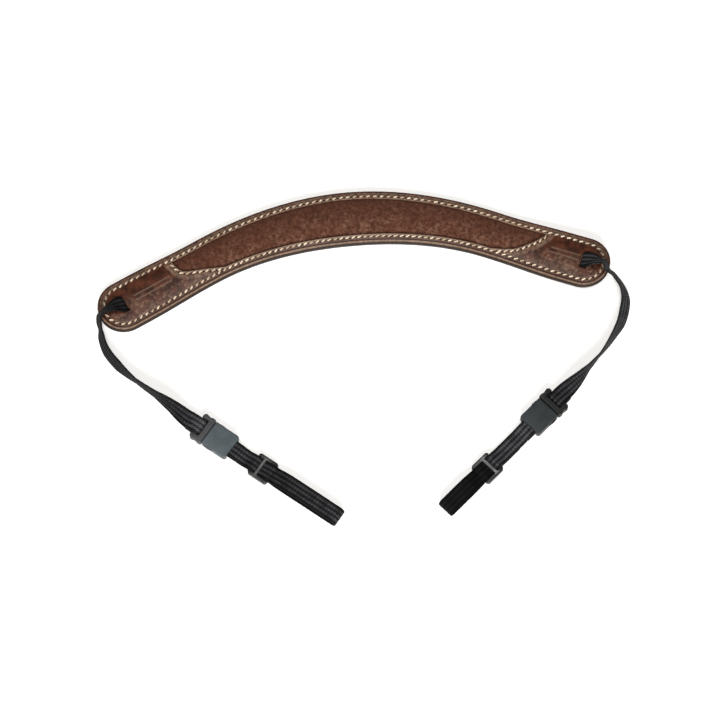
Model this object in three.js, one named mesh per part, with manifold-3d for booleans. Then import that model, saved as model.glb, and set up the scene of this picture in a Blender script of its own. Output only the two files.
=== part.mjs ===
// A neck strap for binoculars, laid out flat on its outer side with the neck side up.
// A curved, padded leather yoke carries one narrow webbing at each end. Each webbing is looped
// through a small side-release buckle, and a second webbing runs from the buckle through a
// slider to the loop that takes the lug of the binoculars. Millimetres, +Z up.
import * as THREE from "three";
import { mergeVertices } from "three/addons/utils/BufferGeometryUtils.js";
import Module from "manifold-3d";

const wasm = await Module();
wasm.setup();
const rad = THREE.MathUtils.degToRad;
const UP = new THREE.Vector3(0, 0, 1);

// ---------------------------------------------------------------- driving dimensions
const GAP = 0.3; // clearance between pieces that lie against each other
const PAST = 1; // how far a cut runs past what it cuts
const HALF_TURN = [90, 60, 30, 0, -30, -60, -90]; // degrees, round a fold from its top to its foot
const LAYOUT = { x: 2.4, y: 2.5 }; // centre of the laid-out strap, taken off every plan position
const ABOVE_ALL = 20; // a height over the whole strap

const YOKE = {
  arcRadius: 228,
  arcHalf: rad(25), // the middle line is an arc this far to each side, then straight
  halfLength: 180,
  endRadius: 17.5,
  turn: rad(5.6), // how the yoke lies, counterclockwise from the X axis
  x: -8.5,
  y: 99.6,
  curlFrom: 90, // the right end curls up from here
  curlRise: 6,
};
// Rows along the yoke from its middle: full width, and how far the padding stands above the edge.
const YOKE_ROWS = [
  { at: 0, width: 38.0, rise: 3.0 },
  { at: 105, width: 32.6, rise: 2.2 },
  { at: 150, width: 35.0, rise: 1.5 },
  { at: 165, width: 35.0, rise: 1.3 },
  { at: 180, width: 35.0, rise: 0.3 },
];
const CROWN_POWER = 2.2; // the padding falls off towards the edges with this power of the width
const LAYER = { back: 1.6, padEdge: 0.7, frame: 1.3, padInset: 0.5 };
const YOKE_STEPS = { body: 36, tip: 6, lastTipAngle: rad(84), flat: 2, crowned: 8 };

// The window of the border frame: its border, and each S-shaped end from the outer to the inner side.
const BORDER = 6.0;
const LEFT_WINDOW_END = [
  { at: 120.4, level: 1.0 },
  { at: 119.4, level: 0.62 },
  { at: 117.5, level: 0.12 },
  { at: 112.9, level: -0.14 },
  { at: 108.6, level: -0.31 },
  { at: 103.6, level: -0.49 },
  { at: 97.5, level: -0.75 },
  { at: 90.0, level: -1.0 },
];
const RIGHT_WINDOW_END = [
  { at: 132.6, level: 1.0 },
  { at: 129.6, level: 0.6 },
  { at: 126.0, level: 0.24 },
  { at: 121.0, level: -0.18 },
  { at: 116.3, level: -0.52 },
  { at: 112.0, level: -0.7 },
  { at: 107.5, level: -0.84 },
  { at: 101.0, level: -1.0 },
];
const WINDOW_STEPS = 26;

const SLOT = { at: 162.6, along: 5.6, across: 13.0, corner: 0.9, side: 1.0 };
const TAB_POCKET = { from: 149.5, to: 165.6, across: 12.6 };

const WEBBING = { width: 11.6, thick: 1.2, selvedge: 0.35, stepsPerKnot: 3 };

// Where the webbing runs inside and over the end of the yoke: distance along the yoke, height of
// its middle above the ground line of the yoke, and twist about its run.
const TAB_RUN = [
  { at: 151.0, z: 2.5, twist: 0 },
  { at: 156.5, z: 2.5, twist: 0 },
  { at: 160.0, z: 3.1, twist: 0 },
  { at: 162.8, z: 5.1, twist: 0 },
  { at: 165.6, z: 7.1, twist: 8 },
  { at: 168.2, z: 8.5, twist: 24 },
  { at: 171.0, z: 9.6, twist: 42 },
  { at: 175.5, z: 10.0, twist: 56 },
];
// Free run from the yoke to the buckle, in plan, with the twist that stands it on its edge.
const LEFT_RUN = [
  { x: -171.9, y: 28.0, z: 9.8, twist: 63 },
  { x: -172.4, y: 24.7, z: 8.5, twist: 74 },
  { x: -171.5, y: 20.0, z: 6.7, twist: 80 },
  { x: -170.8, y: 14.7, z: 5.9, twist: 70 },
  { x: -167.5, y: 5.0, z: 5.6, twist: 69 },
  { x: -159.1, y: -5.9, z: 5.7, twist: 71 },
  { x: -147.0, y: -16.7, z: 6.0, twist: 93 },
  { x: -135.0, y: -25.4, z: 5.9, twist: 85 },
  { x: -123.1, y: -34.0, z: 5.4, twist: 58 },
];
const RIGHT_RUN = [
  { x: 164.0, y: 57.6, z: 16.3, twist: 60 },
  { x: 167.2, y: 55.3, z: 15.2, twist: 62 },
  { x: 170.5, y: 52.3, z: 12.4, twist: 64 },
  { x: 173.3, y: 49.0, z: 9.6, twist: 64 },
  { x: 175.2, y: 44.8, z: 7.6, twist: 60 },
  { x: 176.0, y: 40.0, z: 6.3, twist: 57 },
  { x: 174.7, y: 31.8, z: 5.6, twist: 57 },
  { x: 172.7, y: 25.1, z: 5.5, twist: 62 },
  { x: 168.9, y: 17.9, z: 5.8, twist: 74 },
  { x: 163.8, y: 9.6, z: 5.9, twist: 84 },
  { x: 157.7, y: 1.3, z: 6.0, twist: 95 },
  { x: 150.9, y: -6.7, z: 5.9, twist: 86 },
  { x: 144.2, y: -14.1, z: 5.4, twist: 62 },
];

// Side-release buckle. Its own X axis runs from the yoke side to the loop side.
const BUCKLE = {
  half: 14.25,
  thick: 6.6,
  edge: 0.6,
  socketFrom: -4.6,
  socketHalfWidth: 8.7,
  plugHalfWidth: 9.5,
  plugInset: 0.1, // the plug's faces lie this far inside the socket's
  slotNear: 8.7,
  slotHalf: 6.2,
  cavityTo: 7.2,
  cavityHalf: 6.7,
  armLow: 2.2,
  armHigh: 4.4,
};
// The bars that the webbing goes round. The socket's face covers its bar up to a ceiling.
const PLUG_BAR = { near: 11.2, far: 13.6, low: 2.2, high: 4.4, ceiling: BUCKLE.thick + PAST };
const SOCKET_BAR = { near: 11.7, far: 13.3, low: 2.1, high: 3.3, ceiling: 5.2 };
// Edges of the two halves: x along the buckle, and how far inside the half width.
const PLUG_EDGE = [
  { x: -14.25, inside: 1.3 },
  { x: -13.15, inside: 0.1 },
  { x: -11.95, inside: 0 },
  { x: -9.65, inside: 0.6 },
  { x: -7.35, inside: 0 },
  { x: -5.6, inside: 0.1 },
  { x: -4.9, inside: 0.9 },
];
const SOCKET_EDGE = [
  { x: -4.6, inside: 0.5 },
  { x: -4.0, inside: 0 },
  { x: 12.65, inside: 0 },
  { x: 13.75, inside: 0.5 },
  { x: 14.25, inside: 1.6 },
];
// One sprung arm of the plug, with the lobe that is pressed at the socket's side.
const ARM_EDGE = [
  { x: -5.4, y: 4.8 },
  { x: 6.2, y: 4.8 },
  { x: 6.2, y: 5.7 },
  { x: 3.4, y: 6.5 },
  { x: 1.8, y: 9.3 },
  { x: -1.8, y: 9.3 },
  { x: -2.3, y: 6.3 },
  { x: -5.4, y: 6.3 },
];
const GUIDE = { from: -5.4, to: 4.6, half: 1.1 };
const LOBE_WINDOW = { from: -2.9, to: 4.0, inner: 5 };

// How the webbing goes round a buckle bar: centre and radius of the turn, then where its end is tucked.
const PLUG_WRAP = { centre: 12.0, radius: 2.25, level: 3.3 };
const SOCKET_WRAP = { centre: 12.2, radius: 1.6, level: 2.7 };
const TUCK = { near: 2.4, far: 8.2, lift: 0.05 };
// Knots of the webbing beyond the ends of the buckle: on the yoke side, and on the slider side.
const ARRIVING = [
  { beyond: 8.4, z: 3.6, twist: 26 },
  { beyond: 4.2, z: 4.6, twist: 5 },
];
const LEAVING = [
  { beyond: 4.2, z: 3.6 },
  { beyond: 8.2, z: 2.4 },
];

// Slider with a raised middle bar. Its own X axis runs from the buckle to the loop.
const SLIDER = { half: 7.35, halfWidth: 8.05, thick: 4.4, railInner: 6.1, corner: 1.1, edge: 0.3, root: 0.6 };
const SLIDER_BARS = [
  { from: -7.35, to: -6.15, low: 0, high: 1.3 },
  { from: -2.75, to: -1.15, low: 3.15, high: 4.4 },
  { from: 5.6, to: 7.35, low: 0, high: 1.3 },
];
// Middle line of the two layers that weave through the slider, in the slider's own X.
const WEAVE = [
  { x: -12.5, z: 1.5 },
  { x: -9.6, z: 2.3 },
  { x: -6.9, z: 3.05 },
  { x: -5.7, z: 2.8 },
  { x: -4.45, z: 2.22 },
  { x: -3.1, z: 1.6 },
  { x: -1.9, z: 1.5 },
  { x: -0.5, z: 1.62 },
  { x: 2.4, z: 2.35 },
  { x: 5.2, z: 3.05 },
  { x: 7.6, z: 3.05 },
];
// Heights of the loop's two layers, and where it opens and closes beyond the slider's middle.
const LOOP = {
  low: 0.7,
  high: 6.9,
  midway: 5.6,
  openBy: 19,
  levelBy: 17,
  closeBy: 13,
  lift: 0.25,
  straight: 4,
};

const SIDES = [
  {
    name: "left",
    end: -1,
    run: LEFT_RUN,
    buckle: { x: -94.9, y: -54.7, heading: rad(-35.0) },
    strapHeading: rad(-34.3),
    sliderAt: 38.4,
    loopAt: 99.2,
    tail: 5,
  },
  {
    name: "right",
    end: 1,
    run: RIGHT_RUN,
    buckle: { x: 120.3, y: -37.8, heading: rad(-134.4) },
    strapHeading: rad(-134.4),
    sliderAt: 53.4,
    loopAt: 93.6,
    tail: 12,
  },
];

// ---------------------------------------------------------------- materials
const skin = (color, roughness) => new THREE.MeshStandardMaterial({ color, roughness, metalness: 0 });
const LEATHER = skin(0x4a2018, 0.45);
const SUEDE = skin(0x5a3326, 0.95);
const WEB = skin(0x17181a, 0.8);
const PLASTIC = skin(0x45494c, 0.5);
const DARK_PLASTIC = skin(0x24262a, 0.5);

// ---------------------------------------------------------------- solids and meshes
const boxSolid = (x0, x1, y0, y1, z0, z1) => {
  const box = new THREE.BoxGeometry(x1 - x0, y1 - y0, z1 - z0);
  return solidOf(box.translate((x0 + x1) / 2, (y0 + y1) / 2, (z0 + z1) / 2));
};

function solidOf(geometry) {
  const bare = geometry.clone();
  bare.deleteAttribute("normal");
  bare.deleteAttribute("uv");
  const merged = mergeVertices(bare, 1e-4);
  return new wasm.Manifold(
    new wasm.Mesh({
      numProp: 3,
      vertProperties: new Float32Array(merged.attributes.position.array),
      triVerts: new Uint32Array(merged.index.array),
    }),
  );
}

function meshOf(name, solid, material) {
  const made = solid.getMesh();
  const points = new Float32Array(made.numVert * 3);
  for (let i = 0; i < made.numVert; i++)
    points.set(made.vertProperties.subarray(i * made.numProp, i * made.numProp + 3), i * 3);
  const geometry = new THREE.BufferGeometry();
  geometry.setAttribute("position", new THREE.BufferAttribute(points, 3));
  geometry.setIndex(new THREE.BufferAttribute(new Uint32Array(made.triVerts), 1));
  geometry.computeVertexNormals();
  const mesh = new THREE.Mesh(geometry, material);
  mesh.name = name;
  return mesh;
}

// Joins rings of equal, even point counts into one closed body. Point j of a ring faces point
// count - 1 - j across the section, so each end is closed with a strip.
function loft(rings) {
  const count = rings[0].length;
  const index = [];
  rings.slice(1).forEach((_, i) => {
    for (let j = 0; j < count; j++) {
      const k = (j + 1) % count;
      const [a, b, c, d] = [i * count + j, i * count + k, (i + 1) * count + k, (i + 1) * count + j];
      index.push(a, b, c, a, c, d);
    }
  });
  const last = (rings.length - 1) * count;
  for (let j = 0; j < count / 2 - 1; j++) {
    const [a, b, c, d] = [j, j + 1, count - 2 - j, count - 1 - j];
    index.push(a, c, b, a, d, c);
    index.push(last + a, last + b, last + c, last + a, last + c, last + d);
  }
  const geometry = new THREE.BufferGeometry();
  const flat = rings.flat().flatMap((p) => [p.x, p.y, p.z]);
  geometry.setAttribute("position", new THREE.Float32BufferAttribute(flat, 3));
  geometry.setIndex(index);
  return geometry;
}

// A plan outline, as [x, y] pairs in counterclockwise order, extruded from low to high.
function prism(outline, low, high, bevel = 0) {
  const shape = new THREE.Shape(outline.map(([x, y]) => new THREE.Vector2(x, y)));
  const geometry = new THREE.ExtrudeGeometry(shape, {
    depth: high - low - 2 * bevel,
    bevelEnabled: bevel > 0,
    bevelSize: bevel,
    bevelThickness: bevel,
    bevelOffset: -bevel,
    bevelSegments: 1,
  });
  return solidOf(geometry.translate(0, 0, low + bevel));
}

// ---------------------------------------------------------------- the yoke's own shape
// A named column of a table, eased smoothly from row to row.
function eased(rows, column, at) {
  const far = Math.abs(at);
  const next = Math.max(1, rows.findIndex((row) => row.at >= far));
  const [a, b] = [rows[next - 1], rows[next]];
  const share = THREE.MathUtils.smoothstep(far, a.at, b.at);
  return a[column] + (b[column] - a[column]) * share;
}

function halfWidth(s) {
  const past = Math.abs(s) - (YOKE.halfLength - YOKE.endRadius);
  const body = eased(YOKE_ROWS, "width", Math.min(Math.abs(s), YOKE.halfLength)) / 2;
  return past > 0 ? Math.min(body, Math.sqrt(Math.max(YOKE.endRadius ** 2 - past ** 2, 0))) : body;
}

function curl(s) {
  const share = Math.max(0, s - YOKE.curlFrom) / (YOKE.halfLength - YOKE.curlFrom);
  return YOKE.curlRise * share ** 2;
}

const riseAt = (s, u) =>
  eased(YOKE_ROWS, "rise", Math.min(Math.abs(s), YOKE.halfLength)) * (1 - Math.abs(u) ** CROWN_POWER);

// Plan frame of the middle line at s: its point, and the unit vector towards the outer edge.
function middleLine(s) {
  const onArc = THREE.MathUtils.clamp(s / YOKE.arcRadius, -YOKE.arcHalf, YOKE.arcHalf);
  const beyond = s - onArc * YOKE.arcRadius;
  const x = YOKE.arcRadius * Math.sin(onArc) + beyond * Math.cos(onArc);
  const y = YOKE.arcRadius * (Math.cos(onArc) - 1) - beyond * Math.sin(onArc);
  const point = new THREE.Vector2(x, y).rotateAround(new THREE.Vector2(), YOKE.turn);
  point.add(new THREE.Vector2(YOKE.x - LAYOUT.x, YOKE.y - LAYOUT.y));
  const outward = new THREE.Vector2(Math.sin(onArc), Math.cos(onArc));
  outward.rotateAround(new THREE.Vector2(), YOKE.turn);
  return { point, outward };
}

// s along the yoke, t across it towards the outer edge, z above the ground line.
function yokePoint(s, t, z) {
  const { point, outward } = middleLine(s);
  const p = point.addScaledVector(outward, t);
  return new THREE.Vector3(p.x, p.y, z + curl(s));
}

function yokeStations() {
  const { body, tip, lastTipAngle } = YOKE_STEPS;
  const straight = YOKE.halfLength - YOKE.endRadius;
  const ends = [];
  for (let i = 1; i <= tip; i++)
    ends.push(straight + YOKE.endRadius * Math.sin((lastTipAngle * i) / tip));
  const middle = [];
  for (let i = 0; i <= body; i++) middle.push(-straight + (2 * straight * i) / body);
  return [...ends.map((s) => -s).reverse(), ...middle, ...ends];
}

// A layer of the yoke between two heights, each a function of s and the share u of the width.
function yokeLayer(low, high, across, inset) {
  const shares = [];
  for (let i = 0; i <= across; i++) shares.push(-1 + (2 * i) / across);
  const shorter = 1 - inset / YOKE.halfLength;
  const rings = yokeStations().map((s) => {
    const half = halfWidth(s) - inset;
    const row = (height) => shares.map((u) => yokePoint(s * shorter, u * half, height(s, u)));
    return [...row(low), ...row(high).reverse()];
  });
  return solidOf(loft(rings));
}

const padTop = (s, u) => LAYER.back + GAP + LAYER.padEdge + riseAt(s, u);
const frameLow = (s, u) => padTop(s, u) + GAP;
const frameTop = (s, u) => frameLow(s, u) + LAYER.frame;

// A plan outline given in yoke terms, as a vertical prism through every layer.
function yokeCut(outline) {
  const plan = outline.map(([s, t]) => {
    const p = yokePoint(s, t, 0);
    return [p.x, p.y];
  });
  return prism(plan, -PAST, ABOVE_ALL);
}

function windowOutline() {
  const reach = (s) => halfWidth(s) - BORDER;
  const endPoints = (rows, end) => rows.map(({ at, level }) => [end * at, level * reach(at)]);
  const left = endPoints(LEFT_WINDOW_END, -1);
  const right = endPoints(RIGHT_WINDOW_END, 1);
  const edge = (from, to, side) => {
    const points = [];
    for (let i = 1; i < WINDOW_STEPS; i++) {
      const s = from + ((to - from) * i) / WINDOW_STEPS;
      points.push([s, side * reach(s)]);
    }
    return points;
  };
  const [innerLeft, innerRight] = [left.at(-1)[0], right.at(-1)[0]];
  const [outerLeft, outerRight] = [left[0][0], right[0][0]];
  return [
    ...edge(innerLeft, innerRight, -1),
    ...right.reverse(),
    ...edge(outerRight, outerLeft, 1),
    ...left,
  ];
}

function slotOutline(end) {
  const { at, along, across, corner, side } = SLOT;
  const [a, b] = [along / 2, across / 2];
  const corners = [
    [a - corner, -b],
    [a, -b + corner],
    [a, b - corner],
    [a - corner, b],
    [-a + corner, b],
    [-a, b - corner],
    [-a, -b + corner],
    [-a + corner, -b],
  ];
  return corners.map(([s, t]) => [end * at + s, t + side]);
}

function pocketOutline(end) {
  const { from, to, across } = TAB_POCKET;
  const [low, high] = end > 0 ? [from, to] : [-to, -from];
  const [a, b] = [SLOT.side - across / 2, SLOT.side + across / 2];
  return [[low, a], [high, a], [high, b], [low, b]];
}

function yokeMeshes() {
  const { flat, crowned } = YOKE_STEPS;
  const back = yokeLayer(() => 0, () => LAYER.back, flat, 0);
  const pad = yokeLayer(() => LAYER.back + GAP, padTop, crowned, LAYER.padInset);
  const frame = yokeLayer(frameLow, frameTop, crowned, 0);
  const without = (solid, outlines) =>
    outlines.reduce((rest, outline) => rest.subtract(yokeCut(outline)), solid);
  return [
    meshOf("yoke_back", back, LEATHER),
    meshOf("neck_pad", without(pad, [pocketOutline(-1), pocketOutline(1)]), SUEDE),
    meshOf("border_frame", without(frame, [windowOutline(), slotOutline(-1), slotOutline(1)]), LEATHER),
  ];
}

// ---------------------------------------------------------------- webbing
// Sweeps the flat section along knots { point, across }, where across is the width direction.
function band(knots) {
  const { width, thick, selvedge, stepsPerKnot } = WEBBING;
  const [w, h] = [width / 2, thick / 2];
  const inner = w - selvedge;
  const section = [[-w, 0], [-inner, -h], [inner, -h], [w, 0], [inner, h], [-inner, h]];
  const curve = new THREE.CatmullRomCurve3(knots.map((knot) => knot.point), false, "centripetal");
  const spans = knots.length - 1;
  const steps = spans * stepsPerKnot;
  const rings = [];
  for (let i = 0; i <= steps; i++) {
    const share = i / steps;
    const span = Math.min(Math.floor(share * spans), spans - 1);
    const along = curve.getTangent(share);
    const across = knots[span].across.clone().lerp(knots[span + 1].across, share * spans - span);
    across.addScaledVector(along, -across.dot(along)).normalize();
    const normal = new THREE.Vector3().crossVectors(along, across);
    const centre = curve.getPoint(share);
    const corner = ([a, b]) => centre.clone().addScaledVector(across, a).addScaledVector(normal, b);
    rings.push(section.map(corner));
  }
  return solidOf(loft(rings));
}

// Knots round the bar of a buckle, from the outside over the bar and back under it. The local X
// points away from the bar's slot, and place turns local x, z into a point.
function wrapKnots(place, across, { centre, radius, level }) {
  const knot = (x, z) => ({ point: place(x, z), across });
  const turn = HALF_TURN.map((angle) =>
    knot(centre - radius * Math.cos(rad(angle)), level + radius * Math.sin(rad(angle))),
  );
  return [
    knot(centre + TUCK.near, level + radius - 2 * TUCK.lift),
    ...turn,
    knot(centre + TUCK.near, level - radius - TUCK.lift),
    knot(centre + TUCK.far, LOOP.low + TUCK.lift),
  ];
}

// Places local x, z on a straight line in plan that starts at (x, y) and has a heading.
const lineFrom = (x, y, heading) => (along, z) =>
  new THREE.Vector3(x - LAYOUT.x + along * Math.cos(heading), y - LAYOUT.y + along * Math.sin(heading), z);

// From the tab between the leather layers, out of the slot, over the end and round the plug's bar.
function yokeWebbing({ end, run, buckle }) {
  const standing = (flat, twist) => {
    const share = flat.clone().multiplyScalar(Math.cos(rad(twist)));
    return share.addScaledVector(UP, Math.sin(rad(twist)));
  };
  const tab = TAB_RUN.map(({ at, z, twist }) => {
    const { outward } = middleLine(end * at);
    const flat = new THREE.Vector3(-outward.x, -outward.y, 0);
    return { point: yokePoint(end * at, SLOT.side, z), across: standing(flat, twist) };
  });
  const points = run.map(({ x, y, z }) => new THREE.Vector3(x - LAYOUT.x, y - LAYOUT.y, z));
  const place = lineFrom(buckle.x, buckle.y, buckle.heading + Math.PI);
  const wrapAcross = new THREE.Vector3(Math.sin(buckle.heading), -Math.cos(buckle.heading), 0);
  wrapAcross.multiplyScalar(end);
  const arriving = ARRIVING.map(({ beyond, z, twist }) => ({
    point: place(BUCKLE.half + beyond, z),
    across: standing(wrapAcross, twist),
  }));
  const wrap = [...arriving, ...wrapKnots(place, wrapAcross, PLUG_WRAP)];
  const route = [tab.at(-1).point, ...points, wrap[0].point];
  const free = run.map(({ twist }, i) => {
    const heading = route[i + 2].clone().sub(route[i]).setZ(0).normalize();
    const inner = new THREE.Vector3(-heading.y, heading.x, 0).multiplyScalar(-end);
    return { point: points[i], across: standing(inner, twist) };
  });
  return band([...tab, ...free, ...wrap]);
}

// From under the socket's bar, over it, through the slider, round the lug loop and back.
function loopWebbing({ buckle, strapHeading, sliderAt, loopAt, tail }) {
  const place = lineFrom(buckle.x, buckle.y, strapHeading);
  const across = new THREE.Vector3(-Math.sin(strapHeading), Math.cos(strapHeading), 0);
  const knot = (x, z) => ({ point: place(x, z), across });
  const offset = (WEBBING.thick + GAP) / 2;
  const layer = (side) =>
    WEAVE.map(({ x, z }, i) => {
      const [a, b] = [WEAVE[Math.max(i - 1, 0)], WEAVE[Math.min(i + 1, WEAVE.length - 1)]];
      const slope = Math.atan2(b.z - a.z, b.x - a.x);
      const lift = side * offset;
      return knot(sliderAt + x - lift * Math.sin(slope), z + lift * Math.cos(slope));
    });
  const radius = (LOOP.high - LOOP.low) / 2;
  const foldAt = loopAt - radius - WEBBING.thick / 2;
  const fold = HALF_TURN.map((angle) =>
    knot(foldAt + radius * Math.cos(rad(angle)), LOOP.low + radius + radius * Math.sin(rad(angle))),
  );
  const start = wrapKnots(place, across, SOCKET_WRAP).reverse();
  return band([
    ...start,
    ...LEAVING.map(({ beyond, z }) => knot(BUCKLE.half + beyond, z)),
    ...layer(1),
    knot(sliderAt + LOOP.closeBy, LOOP.midway),
    knot(sliderAt + LOOP.openBy, LOOP.high),
    knot(foldAt - LOOP.straight, LOOP.high),
    ...fold,
    knot(foldAt - LOOP.straight, LOOP.low),
    knot(sliderAt + LOOP.levelBy, LOOP.low),
    knot(sliderAt + LOOP.closeBy, LOOP.low + LOOP.lift),
    ...layer(-1).reverse(),
    knot(sliderAt + WEAVE[0].x - tail, LOOP.low),
  ]);
}

// ---------------------------------------------------------------- buckle and slider
// A closed outline from its lower side, given from -X to +X as how far inside a half width it is.
function symmetricOutline(rows, halfAcross) {
  const lower = rows.map(({ x, inside }) => [x, inside - halfAcross]);
  return [...lower, ...lower.map(([x, y]) => [x, -y]).reverse()];
}

// A piece given on the +Y side, together with its mirror image.
function bothSides(outline, low, high, bevel = 0) {
  const other = outline.map(([x, y]) => [x, -y]).reverse();
  return prism(outline, low, high, bevel).add(prism(other, low, high, bevel));
}

// Opens the end of a buckle half round its bar, below the bar's ceiling. towards is -1 for the yoke
// side, 1 for the loop side.
function openRoundBar(solid, towards, bar) {
  const { half, slotHalf, slotNear } = BUCKLE;
  const cut = (from, to, low, high) => {
    const [a, b] = towards > 0 ? [from, to] : [-to, -from];
    return boxSolid(a, b, -slotHalf, slotHalf, low, high);
  };
  return solid
    .subtract(cut(slotNear, half + PAST, bar.high, bar.ceiling))
    .subtract(cut(slotNear, half + PAST, -PAST, bar.low))
    .subtract(cut(slotNear, bar.near, -PAST, bar.ceiling))
    .subtract(cut(bar.far, half + PAST, -PAST, bar.ceiling));
}

function plugSolid() {
  const { thick, edge, plugHalfWidth, plugInset, armLow, armHigh } = BUCKLE;
  const grip = symmetricOutline(PLUG_EDGE, plugHalfWidth);
  const base = openRoundBar(prism(grip, plugInset, thick - plugInset, edge), -1, PLUG_BAR);
  const arms = bothSides(ARM_EDGE.map(({ x, y }) => [x, y]), armLow, armHigh);
  const guide = boxSolid(GUIDE.from, GUIDE.to, -GUIDE.half, GUIDE.half, armLow, armHigh);
  return base.add(arms).add(guide);
}

function socketSolid() {
  const { thick, edge, socketFrom, socketHalfWidth: wide, cavityTo, cavityHalf } = BUCKLE;
  const [low, high] = [BUCKLE.armLow - GAP, BUCKLE.armHigh + GAP];
  const { from, to, inner } = LOBE_WINDOW;
  const shell = prism(symmetricOutline(SOCKET_EDGE, wide), 0, thick, edge)
    .subtract(boxSolid(socketFrom - PAST, cavityTo, -cavityHalf, cavityHalf, low, high))
    .subtract(boxSolid(from, to, inner, wide + PAST, low, high))
    .subtract(boxSolid(from, to, -wide - PAST, -inner, low, high));
  return openRoundBar(shell, 1, SOCKET_BAR);
}

function sliderSolid() {
  const { half, halfWidth: wide, thick, railInner: inner, corner, edge, root } = SLIDER;
  const rail = [
    [-half, inner],
    [half, inner],
    [half, wide - corner],
    [half - corner, wide],
    [-half + corner, wide],
    [-half, wide - corner],
  ];
  const reach = inner + root;
  const bars = SLIDER_BARS.map(({ from, to, low, high }) => boxSolid(from, to, -reach, reach, low, high));
  return bars.reduce((solid, bar) => solid.add(bar), bothSides(rail, 0, thick, edge));
}

// Puts a piece with its own X axis on a plan point and heading.
function placed(mesh, x, y, heading) {
  mesh.position.set(x - LAYOUT.x, y - LAYOUT.y, 0);
  mesh.rotation.z = heading;
  return mesh;
}

// ---------------------------------------------------------------- the strap
const strap = new THREE.Group();
strap.add(...yokeMeshes());
for (const side of SIDES) {
  const { name, buckle, strapHeading, sliderAt } = side;
  const { x, y, heading } = buckle;
  const sliderX = x + sliderAt * Math.cos(strapHeading);
  const sliderY = y + sliderAt * Math.sin(strapHeading);
  strap.add(
    meshOf(`yoke_webbing_${name}`, yokeWebbing(side), WEB),
    placed(meshOf(`buckle_plug_${name}`, plugSolid(), DARK_PLASTIC), x, y, heading),
    placed(meshOf(`buckle_socket_${name}`, socketSolid(), PLASTIC), x, y, heading),
    meshOf(`loop_webbing_${name}`, loopWebbing(side), WEB),
    placed(meshOf(`slider_${name}`, sliderSolid(), DARK_PLASTIC), sliderX, sliderY, strapHeading),
  );
}

export default strap;
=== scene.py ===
"""A neck strap for binoculars, laid out with its neck side up: a padded leather yoke with a suede
face and a stitched border, and at each end webbing, a side-release buckle, a slider and a lug loop."""

import math
from contextlib import contextmanager

import bmesh
import bpy
import numpy as np
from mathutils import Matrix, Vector


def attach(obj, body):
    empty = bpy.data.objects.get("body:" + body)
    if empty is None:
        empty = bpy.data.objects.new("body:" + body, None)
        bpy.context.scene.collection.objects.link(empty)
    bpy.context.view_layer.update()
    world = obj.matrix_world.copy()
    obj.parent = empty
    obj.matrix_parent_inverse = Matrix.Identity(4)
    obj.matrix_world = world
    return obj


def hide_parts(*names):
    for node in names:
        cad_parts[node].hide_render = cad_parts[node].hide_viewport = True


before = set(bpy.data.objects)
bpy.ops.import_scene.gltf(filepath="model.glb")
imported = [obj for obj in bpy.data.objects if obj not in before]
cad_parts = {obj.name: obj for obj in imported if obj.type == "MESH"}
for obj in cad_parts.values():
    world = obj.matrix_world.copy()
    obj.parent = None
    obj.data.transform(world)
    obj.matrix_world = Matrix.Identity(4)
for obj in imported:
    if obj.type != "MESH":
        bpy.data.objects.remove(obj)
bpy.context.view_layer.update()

bl_info = {
    "name": "Binocular Neck Strap",
    "version": (1, 0, 0),
    "blender": (4, 5, 0),
    "location": "View3D > Sidebar > Strap",
    "description": "Builds a padded leather neck strap with stitching, webbing and buckles",
    "category": "Add Mesh",
}

MM = 0.001  # all shapes are worked out in millimetres and stored in metres
CHUNK = 4000  # points compared with a line at a time
MERGE = 0.002  # points closer than this, in millimetres, are one point
SHARP = math.radians(35)  # edges of the cut leather sharper than this are shaded as edges
SEED = 7
SIDES = ("left", "right")

# The plan of the strap, in millimetres: its centre, and the yoke's middle line.
LAYOUT_X, LAYOUT_Y = 2.4, 2.5
ARC_RADIUS, ARC_HALF = 228.0, math.radians(25)
HALF_LENGTH, END_RADIUS = 180.0, 17.5
STRAIGHT = HALF_LENGTH - END_RADIUS
TURN, YOKE_X, YOKE_Y = math.radians(5.6), -8.5, 99.6
CURL_FROM, CURL_RISE = 90.0, 6.0
CROWN_POWER = 2.2

# Rows along the yoke from its middle: full width, and how far the padding stands above the edge.
YOKE_ROWS = np.array(
    [
        (0.0, 38.0, 3.0),
        (105.0, 32.6, 2.2),
        (150.0, 35.0, 1.5),
        (165.0, 35.0, 1.3),
        (180.0, 35.0, 0.3),
    ]
)
BACK_TOP, PAD_LOW, PAD_EDGE, FRAME_THICK, GAP = 1.6, 1.9, 0.7, 1.3, 0.3

# The S-shaped ends of the window: distance from the yoke's middle, and share of the half width.
WINDOW_ENDS = {
    "left": [
        (120.4, 1.0),
        (119.4, 0.62),
        (117.5, 0.12),
        (112.9, -0.14),
        (108.6, -0.31),
        (103.6, -0.49),
        (97.5, -0.75),
        (90.0, -1.0),
    ],
    "right": [
        (132.6, 1.0),
        (129.6, 0.6),
        (126.0, 0.24),
        (121.0, -0.18),
        (116.3, -0.52),
        (112.0, -0.7),
        (107.5, -0.84),
        (101.0, -1.0),
    ],
}
# Plain double lines tooled on the end patches: from, to and across, and half their distance apart.
TOOLED = [(-153.0, -127.0, 0.5), (139.0, 158.5, 1.2)]
TOOLED_APART = 1.7
# The slots: their place along the yoke and towards its outer side, size along and across, and corner.
SLOT_AT, SLOT_SIDE, SLOT_ALONG, SLOT_ACROSS, SLOT_CORNER = 162.6, 1.0, 5.6, 13.0, 0.9


# ------------------------------------------------------------------ settings
def size(name, description, default_mm, most_mm=50.0):
    """A length that a user may change, given in millimetres and held in metres."""
    return bpy.props.FloatProperty(
        name=name,
        description=description,
        default=default_mm * MM,
        min=0.0,
        max=most_mm * MM,
        unit="LENGTH",
        precision=5,
    )


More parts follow.
